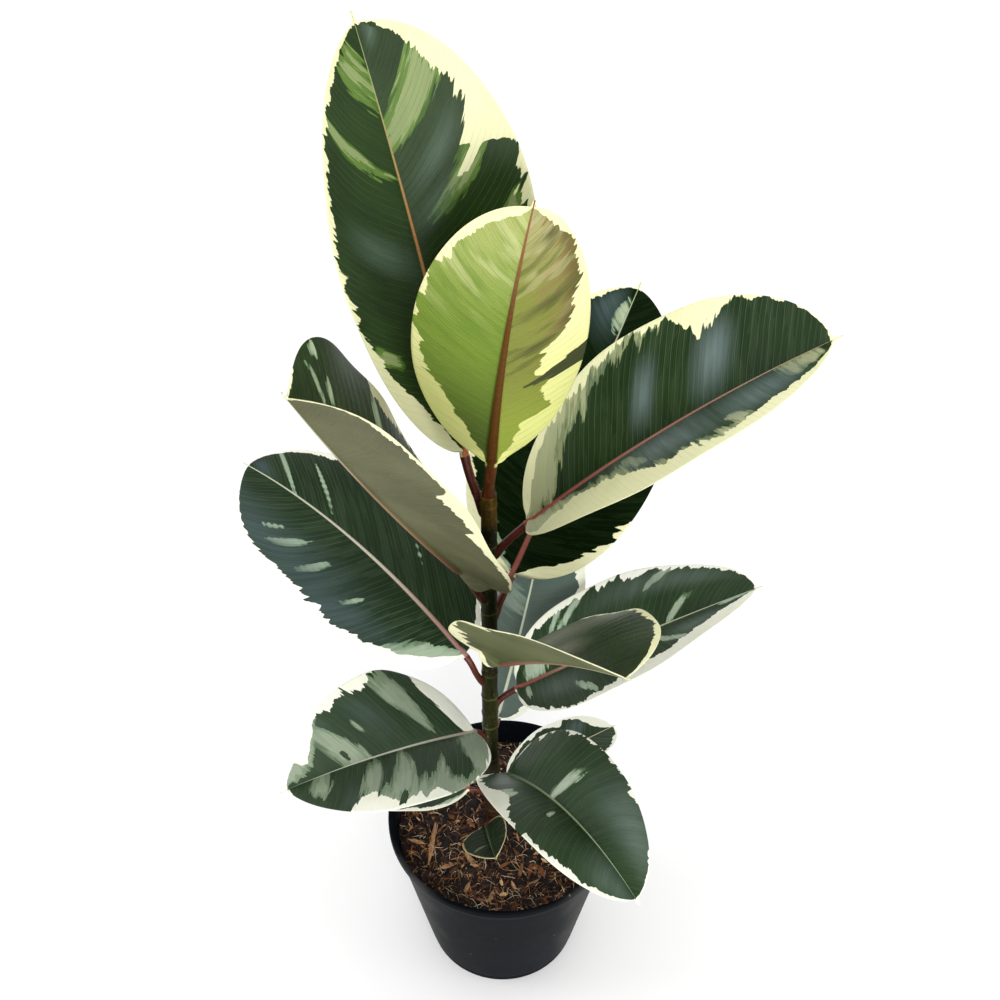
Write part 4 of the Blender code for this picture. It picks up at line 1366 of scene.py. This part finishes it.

# Each leaf's sheen patches are painted reflections; on the newest leaf they are soft dark olive bands.
LEAVES = (
    Leaf(
        "small_low_front", "leaf_01_small_low_front",
        node=150, base=(-12, -20, 161), length=46, width=40,
        heading=-82, pitch=26, droop=-5, sweep=4, roll=-19, twist=2,
        fold=(32, 21), closing=(-8, 7), curl=(4, -8), roundness=(0.46, 0.52),
        left_cream=((0.0, 0.8), (0.3, 0.96), (0.9, 0.95), (1.0, 0.8)),
        right_cream=((0.0, 0.8), (0.3, 0.94), (0.8, 0.93), (1.0, 0.8)),
        patches=patches(pale=((0.6, 0.4, 0.3, 0.02),)),
        blade=BladeFinish(seed=1.0, dark="14230c", deep="0e1b08", mid="2c3f24", pale="4e6446",
                          cream="a89c70", rib=("3c4a2c", "4a5c38", "6a7448"), jag=0.5, gloss=0.12),
    ),
    Leaf(
        "low_right_back", "leaf_02_low_right_back",
        node=174, base=(4, 6, 186), length=92, width=56,
        heading=23, pitch=15, droop=24, sweep=12, roll=10, twist=-3,
        fold=(9, 15), closing=(13, 2), curl=(-13, -6), roundness=(0.49, 0.53),
        left_cream=((0.0, 0.7), (0.2, 0.85), (0.4, 0.92), (0.55, 0.86), (0.61, 0.72), (0.66, 0.95),
                    (0.76, 0.86), (0.82, 0.5), (0.9, 0.15), (1.0, 0.0)),
        right_cream=((0.0, 0.8), (0.5, 0.95), (0.8, 0.9), (0.95, 0.7), (1.0, 0.3)),
        patches=patches(sheen=((0.7, -0.5, 0.5, 0.12),)),
        blade=BladeFinish(seed=2.0, dark="1c3013", deep="15260e", **WHITE_EDGED),
    ),
    Leaf(
        "low_left_under", "leaf_03_low_left_under",
        node=176, base=(-25, -8, 194), length=102, width=56,
        heading=163, pitch=-19, droop=25, sweep=-7, roll=-1, twist=-6,
        fold=(15, 15), closing=(10, 0), curl=(-5, -5), roundness=(0.45, 0.54),
        left_cream=((0.0, 0.7), (0.1, 0.85), (0.2, 0.9), (0.6, 0.92), (1.0, 0.7)),
        left_pale=((0.0, 0.4), (0.1, 0.7), (0.2, 0.95), (1.0, 0.9)),
        right_cream=((0.0, 0.7), (0.3, 0.95), (0.8, 0.9), (1.0, 0.6)),
        patches=patches(pale=((0.6, 0.5, 0.4, 0.05),)),
        blade=BladeFinish(seed=3.0, dark="1c3013", deep="15260e", **WHITE_EDGED),
    ),
    Leaf(
        "low_right_front", "leaf_04_low_right_front",
        node=195, base=(4, -9, 213), length=170, width=99,
        heading=-54, pitch=43, droop=54, sweep=-6, roll=-3, twist=-9,
        fold=(35, 33), closing=(4, -8), curl=(0, -3), roundness=(0.45, 0.53),
        left_cream=((0.0, 0.85), (0.1, 0.97), (0.3, 0.96), (0.5, 1.02), (0.85, 1.02), (0.93, 0.95),
                    (1.0, 0.8)),
        right_cream=((0.0, 0.8), (0.05, 0.75), (0.1, 0.85), (0.2, 0.95), (0.24, 0.85), (0.28, 0.66),
                     (0.33, 0.62), (0.38, 0.76), (0.45, 0.9), (0.52, 0.97), (0.66, 0.95), (0.72, 0.88),
                     (0.8, 0.86), (0.9, 0.86), (1.0, 0.7)),
        patches=patches(pale=((0.4, -0.33, 0.32, 0.026, 0.05), (0.48, 0.28, 0.09, 0.012),
                              (0.3, 0.6, 0.14, 0.03)),
                        sheen=((0.78, -0.75, 0.6, 0.3), (0.88, 0.4, 0.7, 0.22), (0.16, 0.45, 0.6, 0.1))),
        blade=BladeFinish(seed=4.0, dark="233a1c", deep="1c3115", cream="f6f7ea", pale="9db097",
                          rib=("5c6a48", "9aa585", "b6c0a4"), sheen=0.55, sheen_tint="66776c"),
    ),
    Leaf(
        "middle_back", "leaf_05_middle_back",
        node=236, base=(-3, 20, 245), length=165, width=83,
        heading=61, pitch=59, droop=3, sweep=12, roll=14, twist=-15,
        fold=(3, 11), closing=(15, -17), curl=(-21, -9), roundness=(0.51, 0.47),
        left_cream=((0.0, 0.8), (0.5, 0.93), (1.0, 0.8)),
        left_pale=((0.0, 0.3), (0.3, 0.55), (0.6, 0.9), (1.0, 0.95)),
        right_cream=((0.0, 0.7), (0.2, 0.9), (0.6, 0.9), (0.75, 0.8), (1.0, 0.8)),
        patches=patches(pale=((0.25, 0.35, 0.3, 0.03), (0.55, -0.4, 0.4, 0.06)),
                        sheen=((0.45, -0.5, 0.9, 0.5), (0.5, 0.5, 0.9, 0.5))),
        # This leaf's grey-green tones and broad sheen patches are its green with a painted grey-blue
        # reflection laid in.
        blade=BladeFinish(seed=5.0, dark="46574f", deep="3e4e46", mid="5c6e60", cream="eef0e0",
                          pale="728476", rib=("b8bfa6", "c6ccb6", "b6c0a4"), core=0.1, sheen=0.6,
                          sheen_tint="5c6a64"),
    ),
    Leaf(
        "low_left", "leaf_06_low_left",
        node=252, base=(-20, -9, 266), length=173, width=110,
        heading=219, pitch=33, droop=16, sweep=0, roll=6, twist=14,
        fold=(26, 29), closing=(8, 25), curl=(-9, -1), roundness=(0.51, 0.52),
        stoutness=0.85, lean=((0.7, 0.3), (0.7, 0.3)),
        left_cream=((0.0, 0.9), (0.1, 0.95), (0.43, 1.02), (0.466, 0.84), (0.62, 0.86), (0.668, 0.8),
                    (0.68, 0.68), (0.756, 0.6), (0.803, 0.8), (0.85, 1.1), (1.0, 1.1)),
        left_pale=((0.0, 0.0), (0.08, 0.02), (0.11, 0.12), (0.19, 0.52), (0.205, 0.76), (0.235, 0.92),
                   (0.3, 0.9), (0.38, 0.66), (0.5, 0.6), (0.62, 0.62), (0.7, 0.72), (0.74, 1.2), (1.0, 1.2)),
        right_cream=((0.0, 0.0), (0.06, 0.13), (0.14, 0.63), (0.195, 0.78), (0.254, 0.95), (0.3, 1.1),
                     (0.43, 1.02), (0.53, 0.82), (0.6, 0.88), (0.656, 0.95), (0.685, 0.86), (0.713, 0.8),
                     (0.758, 0.87), (0.8, 0.95), (0.83, 0.72), (0.87, 0.34), (0.9, 0.4), (0.93, 0.62),
                     (1.0, 0.7)),
        right_pale=((0.0, 2.0), (0.78, 1.2), (0.82, 0.5), (0.86, 0.2), (0.9, 0.12), (1.0, 0.1)),
        patches=patches(pale=((0.335, 0.58, 0.48, 0.06, 0.0, 0.85), (0.745, 0.42, 0.6, 0.06, 0.04, -0.5),
                              (0.605, 0.44, 0.09, 0.012), (0.4, -0.72, 0.4, 0.045, 0.0, 0.7),
                              (0.54, -0.5, 0.45, 0.06, 0.0, 0.35), (0.66, -0.4, 0.42, 0.044, 0.0, 0.6),
                              (0.6, -0.86, 0.2, 0.09), (0.86, -0.28, 0.32, 0.05)),
                        dark=((0.69, 0.15, 0.08, 0.014), (0.62, -0.84, 0.1, 0.02), (0.95, 0.1, 0.16, 0.02)),
                        sheen=((0.55, 0.55, 0.5, 0.12), (0.8, 0.8, 0.3, 0.06), (0.8, -0.7, 0.4, 0.06))),
        blade=BladeFinish(seed=6.0, dark="293c26", deep="21331e", mid="54654e", cream="f6f7ea",
                          pale="76886e", rib=("b3aa9c", "c2c4b0", "b4bda0"), core=0.12, sheen=0.3,
                          sheen_tint="50605c"),
    ),
    Leaf(
        "middle_right", "leaf_07_middle_right",
        node=287, base=(10, 2, 302), length=190, width=96,
        heading=4, pitch=34, droop=1, sweep=-5, roll=-3, twist=12,
        fold=(18, 16), closing=(-16, 5), curl=(-1, -4), roundness=(0.47, 0.57),
        left_cream=((0.0, 0.5), (0.1, 0.85), (0.3, 0.95), (0.5, 0.93), (0.7, 0.92), (0.9, 0.94), (1.0, 0.8)),
        right_cream=((0.0, 0.6), (0.05, 0.82), (0.1, 0.92), (0.3, 0.97), (0.33, 0.9), (0.4, 0.86),
                     (0.5, 0.85), (0.55, 0.8), (0.68, 0.72), (0.75, 0.62), (0.8, 0.55), (0.85, 0.45),
                     (0.9, 0.35), (0.95, 0.2), (1.0, 0.1)),
        patches=patches(pale=((0.05, 0.35, 0.25, 0.012), (0.31, 0.66, 0.18, 0.02, 0.15),
                              (0.66, 0.48, 0.2, 0.02, 0.2), (0.9, 0.08, 0.08, 0.07),
                              (0.22, -0.8, 0.2, 0.012, 0.1), (0.285, -0.8, 0.22, 0.02, 0.2),
                              (0.67, -0.2, 0.18, 0.018, 0.1), (0.625, -0.82, 0.14, 0.018, 0.15),
                              (0.1, -0.3, 0.25, 0.05)),
                        sheen=((0.65, -0.75, 0.3, 0.35), (0.2, 0.4, 0.4, 0.15), (0.75, 0.4, 0.3, 0.15))),
        blade=BladeFinish(seed=7.0, dark="22381c", deep="1b2f15", **WHITE_EDGED,
                          rib=("8e5048", "b6b29a", "b6c0a4"), core=0.2, sheen=0.6, sheen_tint="606e66"),
        petiole=PetioleFinish("dark_petiole", "4c1e16", "2e100b", "784438"),
    ),
    Leaf(
        "left_broad", "leaf_08_left_broad",
        node=312, base=(-26, -3, 347), length=228, width=125,
        heading=134, pitch=23, droop=36, sweep=3, roll=5, twist=12,
        fold=(-6, -2), closing=(-4, 12), curl=(-12, -33), roundness=(0.46, 0.51),
        stoutness=0.85, lean=((0.24, 2.4), (1.5, 0.3)),
        left_cream=((0.0, 0.3), (0.06, 0.6), (0.12, 0.72), (0.2, 0.78), (0.27, 0.81), (0.35, 0.86),
                    (0.45, 0.81), (0.55, 0.79), (0.65, 0.81), (0.75, 0.86), (0.85, 0.94), (1.0, 0.95)),
        left_pale=((0.0, 0.05), (0.05, 0.2), (0.1, 0.38), (0.17, 0.7), (0.2, 0.9), (0.25, 1.2), (1.0, 1.2)),
        right_cream=((0.0, 0.5), (0.06, 0.75), (0.12, 0.95), (0.5, 0.98), (0.72, 0.96), (0.76, 0.84),
                     (0.85, 0.86), (0.93, 0.8), (1.0, 0.75)),
        patches=patches(pale=((0.302, 0.69, 0.08, 0.012), (0.332, 0.46, 0.06, 0.008),
                              (0.705, 0.33, 0.24, 0.0115), (0.87, 0.42, 0.46, 0.012),
                              (0.347, -0.51, 0.1, 0.01, 0.04), (0.524, -0.51, 0.15, 0.012),
                              (0.66, -0.52, 0.17, 0.014), (0.745, -0.52, 0.1, 0.009)),
                        sheen=((0.72, -0.72, 0.6, 0.4), (0.4, -0.75, 0.4, 0.3), (0.93, 0.2, 0.4, 0.08))),
        blade=BladeFinish(seed=8.0, dark="12260c", deep="0d1f08", mid="5d7458", cream="f6f7ea",
                          pale="8ba085", rib=("967068", "b4ae9c", "b4bba0"), jag=0.55, core=0.1, sheen=0.6,
                          sheen_tint="465658", gloss=0.12),
    ),
    Leaf(
        "middle_cupped", "leaf_09_middle_cupped",
        node=338, base=(-1, -20, 360), length=220, width=122,
        heading=-62, pitch=52, droop=11, sweep=0, roll=4, twist=0,
        fold=(23, 45), closing=(2, -1), curl=(-18, -9), roundness=(0.40, 0.48),
        left_cream=((0.0, 0.97), (0.5, 0.97), (0.7, 0.95), (0.8, 0.9), (0.9, 0.85), (1.0, 0.7)),
        right_cream=((0.0, 0.75), (0.03, 0.62), (0.06, 0.85), (0.1, 0.7), (0.13, 0.85), (0.17, 0.75),
                     (0.2, 0.9), (0.25, 0.75), (0.3, 0.97), (0.42, 1.0), (0.47, 0.75), (0.52, 0.9),
                     (0.6, 0.97), (0.8, 0.92), (1.0, 0.8)),
        patches=patches(sheen=((0.25, -0.5, 0.9, 0.25), (0.45, -0.2, 0.3, 0.15))),
        blade=BladeFinish(seed=9.0, dark="1d330f", deep="17290c", under="464a2a", under_light="555a38",
                          **YELLOW_EDGED, rib=("7a3c34", "8a6c54", "b6c0a4"), jag=0.6, sheen=0.85,
                          sheen_tint="70735f"),
    ),
    Leaf(
        "back_right", "leaf_10_back_right",
        node=378, base=(6, 17, 407), length=237, width=124,
        heading=64, pitch=23, droop=13, sweep=5, roll=-8, twist=-3,
        fold=(13, 9), closing=(-3, -3), curl=(-4, -15), roundness=(0.46, 0.62),
        left_cream=((0.0, 0.3), (0.05, 0.6), (0.1, 0.75), (0.17, 0.9), (0.3, 0.95), (0.6, 0.92), (0.8, 0.88),
                    (1.0, 0.8)),
        left_pale=((0.0, 0.15), (0.05, 0.35), (0.1, 0.55), (0.17, 0.85), (0.25, 1.2), (1.0, 1.2)),
        right_cream=((0.0, 0.3), (0.03, 0.4), (0.06, 0.65), (0.1, 0.8), (0.15, 0.9), (0.25, 0.97),
                     (0.3, 1.15), (1.0, 1.15)),
        patches=patches(pale=((0.87, -0.12, 0.13, 0.06),),
                        sheen=((0.88, -0.5, 0.6, 0.15),)),
        # This leaf's near-black greens and dark vein lines are painted shade: it lies in deep shade.
        blade=BladeFinish(seed=10.0, dark="061401", deep="031000", mid="36502a", line="2c4a22",
                          **YELLOW_EDGED, rib=("94584c", "a08468", "a9b491"), gloss=0.03),
        petiole=PetioleFinish("pink_petiole", "703c30", "48221a", "9a6854"),
    ),
    Leaf(
        "left_boat", "leaf_11_left_boat",
        node=404, base=(-26, -8, 439), length=265, width=139,
        heading=222, pitch=60, droop=-7, sweep=-2, roll=15, twist=8,
        fold=(47, 26), closing=(29, 7), curl=(-15, -7), roundness=(0.30, 0.30),
        left_cream=((0.0, 1.0), (0.15, 0.97), (0.22, 0.9), (0.3, 0.9), (0.4, 0.86), (0.43, 0.76),
                    (0.46, 0.9), (0.52, 0.84), (0.55, 0.76), (0.6, 0.78), (0.66, 0.95), (0.8, 0.96),
                    (1.0, 0.9)),
        right_cream=((0.0, 0.95), (0.3, 0.97), (0.47, 0.84), (0.53, 0.93), (0.6, 1.15), (1.0, 1.15)),
        patches=patches(pale=((0.865, 0.5, 0.18, 0.014, 0.15), (0.79, 0.5, 0.1, 0.014),
                              (0.5, 0.72, 0.14, 0.02), (0.9, 0.86, 0.1, 0.02))),
        blade=BladeFinish(seed=11.0, dark="192e10", deep="12250b", under="434426", under_light="535435",
                          **YELLOW_EDGED, rib=("6a3c30", "8a6c54", "b6c0a4"), jag=0.6),
    ),
    Leaf(
        "upper_right", "leaf_12_upper_right",
        node=446, base=(16, 2, 474), length=243, width=122,
        heading=0, pitch=50, droop=11, sweep=-7, roll=-12, twist=-11,
        fold=(21, 34), closing=(5, -4), curl=(6, 0), roundness=(0.52, 0.49),
        lean=((0.52, 0.05), (0.5, 0.3)),
        left_cream=((0.0, 0.25), (0.05, 0.6), (0.12, 0.86), (0.2, 0.9), (0.3, 0.9), (0.4, 0.95), (0.5, 0.98),
                    (0.62, 0.92), (0.67, 0.64), (0.72, 0.76), (0.8, 0.96), (0.9, 1.0), (1.0, 0.9)),
        left_pale=((0.0, 0.0), (0.1, 0.12), (0.14, 0.3), (0.2, 0.6), (0.3, 0.72), (0.36, 0.86), (0.5, 0.93),
                   (0.6, 0.95), (0.64, 1.2), (1.0, 1.2)),
        right_cream=((0.0, 0.95), (0.08, 0.9), (0.12, 0.45), (0.2, 0.33), (0.3, 0.38), (0.36, 0.42),
                     (0.42, 0.58), (0.52, 0.68), (0.6, 0.66), (0.68, 0.84), (0.76, 0.84), (0.82, 0.7),
                     (0.92, 0.72), (1.0, 0.6)),
        right_pale=((0.0, 0.0), (0.12, 0.06), (0.2, 0.2), (0.3, 0.3), (0.36, 0.3), (0.42, 0.6), (1.0, 0.9)),
        patches=patches(pale=((0.4, 0.3, 0.18, 0.02, 0.1), (0.735, 0.62, 0.12, 0.02, 0.1),
                              (0.9, 0.22, 0.26, 0.06)),
                        sheen=((0.47, -0.42, 0.42, 0.055), (0.68, -0.42, 0.52, 0.09), (0.5, 0.3, 0.5, 0.26),
                               (0.78, 0.35, 0.5, 0.2))),
        blade=BladeFinish(seed=12.0, dark="1f3614", deep="162b0f", mid="68795a", cream="f2f1c4",
                          pale="929a70", rib=("9c4840", "b0766a", "b8a593"), sheen=0.85,
                          sheen_tint="6c7d7c"),
    ),
    Leaf(
        "top_left", "leaf_13_top_left",
        node=482, base=(-24, 17, 523), length=274, width=147,
        heading=109, pitch=58, droop=-12, sweep=25, roll=-2, twist=5,
        fold=(23, 22), closing=(-13, -4), curl=(13, 4), roundness=(0.63, 0.53),
        lean=((0.45, 1.1), (0.5, 1.1)),
        left_cream=((0.0, 0.3), (0.08, 0.45), (0.115, 0.6), (0.2, 0.78), (0.269, 0.88), (0.374, 0.95),
                    (0.6, 0.93), (0.845, 0.95), (0.893, 0.85), (0.94, 0.75), (1.0, 0.5)),
        right_cream=((0.0, 0.15), (0.2, 0.45), (0.4, 0.8), (0.47, 0.84), (0.5, 0.92), (0.54, 0.9),
                     (0.56, 0.97), (0.63, 1.0), (0.655, 0.94), (0.665, 0.6), (0.69, 0.6), (0.73, 0.67),
                     (0.77, 0.74), (0.83, 0.7), (0.88, 0.66), (0.94, 0.62), (0.97, 0.45), (1.0, 0.4)),
        patches=patches(cream=((0.64, 0.62, 0.17, 0.012),),
                        pale=((0.605, 0.5, 0.27, 0.028, 0.0, 0.4), (0.8, 0.34, 0.5, 0.055, 0.0, 0.4),
                              (0.73, -0.48, 0.36, 0.019), (0.285, -0.76, 0.15, 0.02),
                              (0.89, -0.32, 0.42, 0.055), (0.5, 0.78, 0.12, 0.02)),
                        dark=((0.94, 0.3, 0.34, 0.05),),
                        sheen=((0.66, 0.35, 0.4, 0.05), (0.5, -0.4, 0.5, 0.06), (0.56, 0.25, 0.3, 0.05),
                               (0.95, 0.3, 0.3, 0.05))),
        blade=BladeFinish(seed=13.0, dark="1b330a", deep="142905", mid="3c5a18", cream="e4e3b6",
                          pale="58752e", rib=("b86440", "a87648", "8f9e62"), core=0.2, sheen=0.5,
                          sheen_tint="5a6f60"),
    ),
    Leaf(
        "newest", "leaf_14_newest",
        node=503, base=(-7, -6, 539), length=179, width=111,
        heading=-127, pitch=95, droop=-15, sweep=-2, roll=-26, twist=-12,
        fold=(28, 12), closing=(3, 1), curl=(11, -4), roundness=(0.53, 0.55),
        stoutness=1.6, rib_taper=1.05, lean=((0.25, 0.9), (0.25, 0.9)), slot="young_leaf",
        left_cream=((0.0, 0.2), (0.04, 0.35), (0.15, 0.42), (0.2, 0.8), (0.27, 0.53), (0.33, 0.66),
                    (0.345, 0.4), (0.42, 0.48), (0.474, 0.55), (0.566, 0.78), (0.65, 0.8), (0.728, 0.89),
                    (0.863, 0.91), (0.928, 0.65), (1.0, 0.2)),
        right_cream=((0.0, 0.25), (0.02, 0.31), (0.13, 0.49), (0.195, 0.65), (0.367, 0.89), (0.569, 0.99),
                     (0.693, 0.97), (0.793, 0.89), (0.903, 0.69), (0.96, 0.2), (1.0, 0.0)),
        patches=patches(dark=((0.41, -1.0, 0.66, 0.034, 0.0, 0.6),),
                        sheen=((0.63, -0.45, 0.55, 0.035), (0.68, -0.82, 0.3, 0.04),
                               (0.56, -0.75, 0.35, 0.035), (0.88, -0.55, 0.3, 0.04),
                               (0.46, -0.35, 0.4, 0.025))),
        blade=YoungBladeFinish(seed=14.0, rib=("54340e", "5e3c16", "8a6040"), jag=1.1, sheen=0.8,
                               sheen_tint="2e2c03"),
        petiole=PetioleFinish("brown_petiole", "6a3410", "3e1c08", "96622c"),
    ),
)


# Studio


@dataclass(frozen=True)
class SoftLight:
    """One soft box: where it stands, what it points at, its size in metres and its power in watts."""

    name: str
    place: tuple[float, float, float]
    target: tuple[float, float, float]
    size: tuple[float, float]
    power: float
    colour: tuple[float, float, float] = (1.0, 1.0, 1.0)

    def build(self) -> None:
        """Add the light."""
        lamp = bpy.data.lights.new(self.name, "AREA")
        lamp.shape = "RECTANGLE"
        lamp.size, lamp.size_y = self.size
        lamp.energy = self.power
        lamp.color = self.colour
        made = bpy.data.objects.new(self.name, lamp)
        made.location = self.place
        made.rotation_euler = (Vector(self.target) - Vector(self.place)).to_track_quat("-Z", "Y").to_euler()
        bpy.context.scene.collection.objects.link(made)


@dataclass(frozen=True)
class Studio:
    """The camera of the photograph, a plain pale floor and soft light."""

    camera_place: tuple[float, float, float] = (-0.002, -0.82, 1.41)
    camera_pitch: float = 48.05
    lens: float = 72.0
    sensor: float = 36.0
    floor_half: float = 5.0
    floor_colour: tuple[float, float, float, float] = (0.9, 0.9, 0.9, 1.0)
    world_strength: float = 0.93
    lights: tuple[SoftLight, ...] = (
        SoftLight("sky_light", (0.0, 0.5, 4.0), (0.0, 0.0, 0.3), (4.0, 4.0), 26.0, (1.0, 0.995, 0.98)),
        SoftLight("left_window", (-2.4, 0.1, 0.9), (0.0, 0.0, 0.5), (1.0, 1.5), 16.0, (0.93, 0.97, 1.0)),
        SoftLight("right_window", (2.4, -0.6, 0.8), (0.0, 0.0, 0.4), (1.0, 1.5), 10.0),
        SoftLight("front_window", (0.4, -2.9, 1.4), (0.0, 0.0, 0.5), (2.0, 1.2), 58.0, (1.0, 0.995, 0.98)),
    )

    def build(self) -> None:
        """Add the camera, the floor, the world and the lights."""
        scene = bpy.context.scene
        camera = bpy.data.objects.new("camera", bpy.data.cameras.new("camera"))
        camera.data.lens = self.lens
        camera.data.sensor_width = self.sensor
        camera.location = self.camera_place
        camera.rotation_euler = (math.radians(90.0 - self.camera_pitch), 0.0, 0.0)
        scene.collection.objects.link(camera)
        scene.camera = camera
        reach = self.floor_half
        corners = [(-reach, -reach, 0.0), (reach, -reach, 0.0), (reach, reach, 0.0), (-reach, reach, 0.0)]
        mesh = bpy.data.meshes.new("floor")
        mesh.from_pydata(corners, [], [(0, 1, 2, 3)])
        floor = bpy.data.objects.new("floor", mesh)
        graph = Graph("floor")
        mesh.materials.append(graph.dress(self.floor_colour, 0.9, gloss=0.1))
        scene.collection.objects.link(floor)
        world = bpy.data.worlds.new("studio")
        world.use_nodes = True
        back = world.node_tree.nodes["Background"]
        back.inputs["Color"].default_value = (1.0, 1.0, 1.0, 1.0)
        back.inputs["Strength"].default_value = self.world_strength
        scene.world = world
        scene.view_settings.view_transform = "Standard"
        for light in self.lights:
            light.build()


def report(piece: bpy.types.Object) -> None:
    """Log a piece's name and its count of faces."""
    log.info("%s: %d faces", piece.name, len(piece.data.polygons))


def main() -> None:
    """Build the plant, its pot and the studio."""
    logging.basicConfig(level=logging.INFO, format="%(message)s")
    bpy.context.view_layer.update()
    pot = NurseryPot()
    report(pot.build())
    for piece in PottingMix(pot).build():
        report(piece)
    report(Stem().build())
    for leaf in LEAVES:
        report(leaf.build())
    Studio().build()
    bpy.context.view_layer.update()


if __name__ == "__main__":
    main()
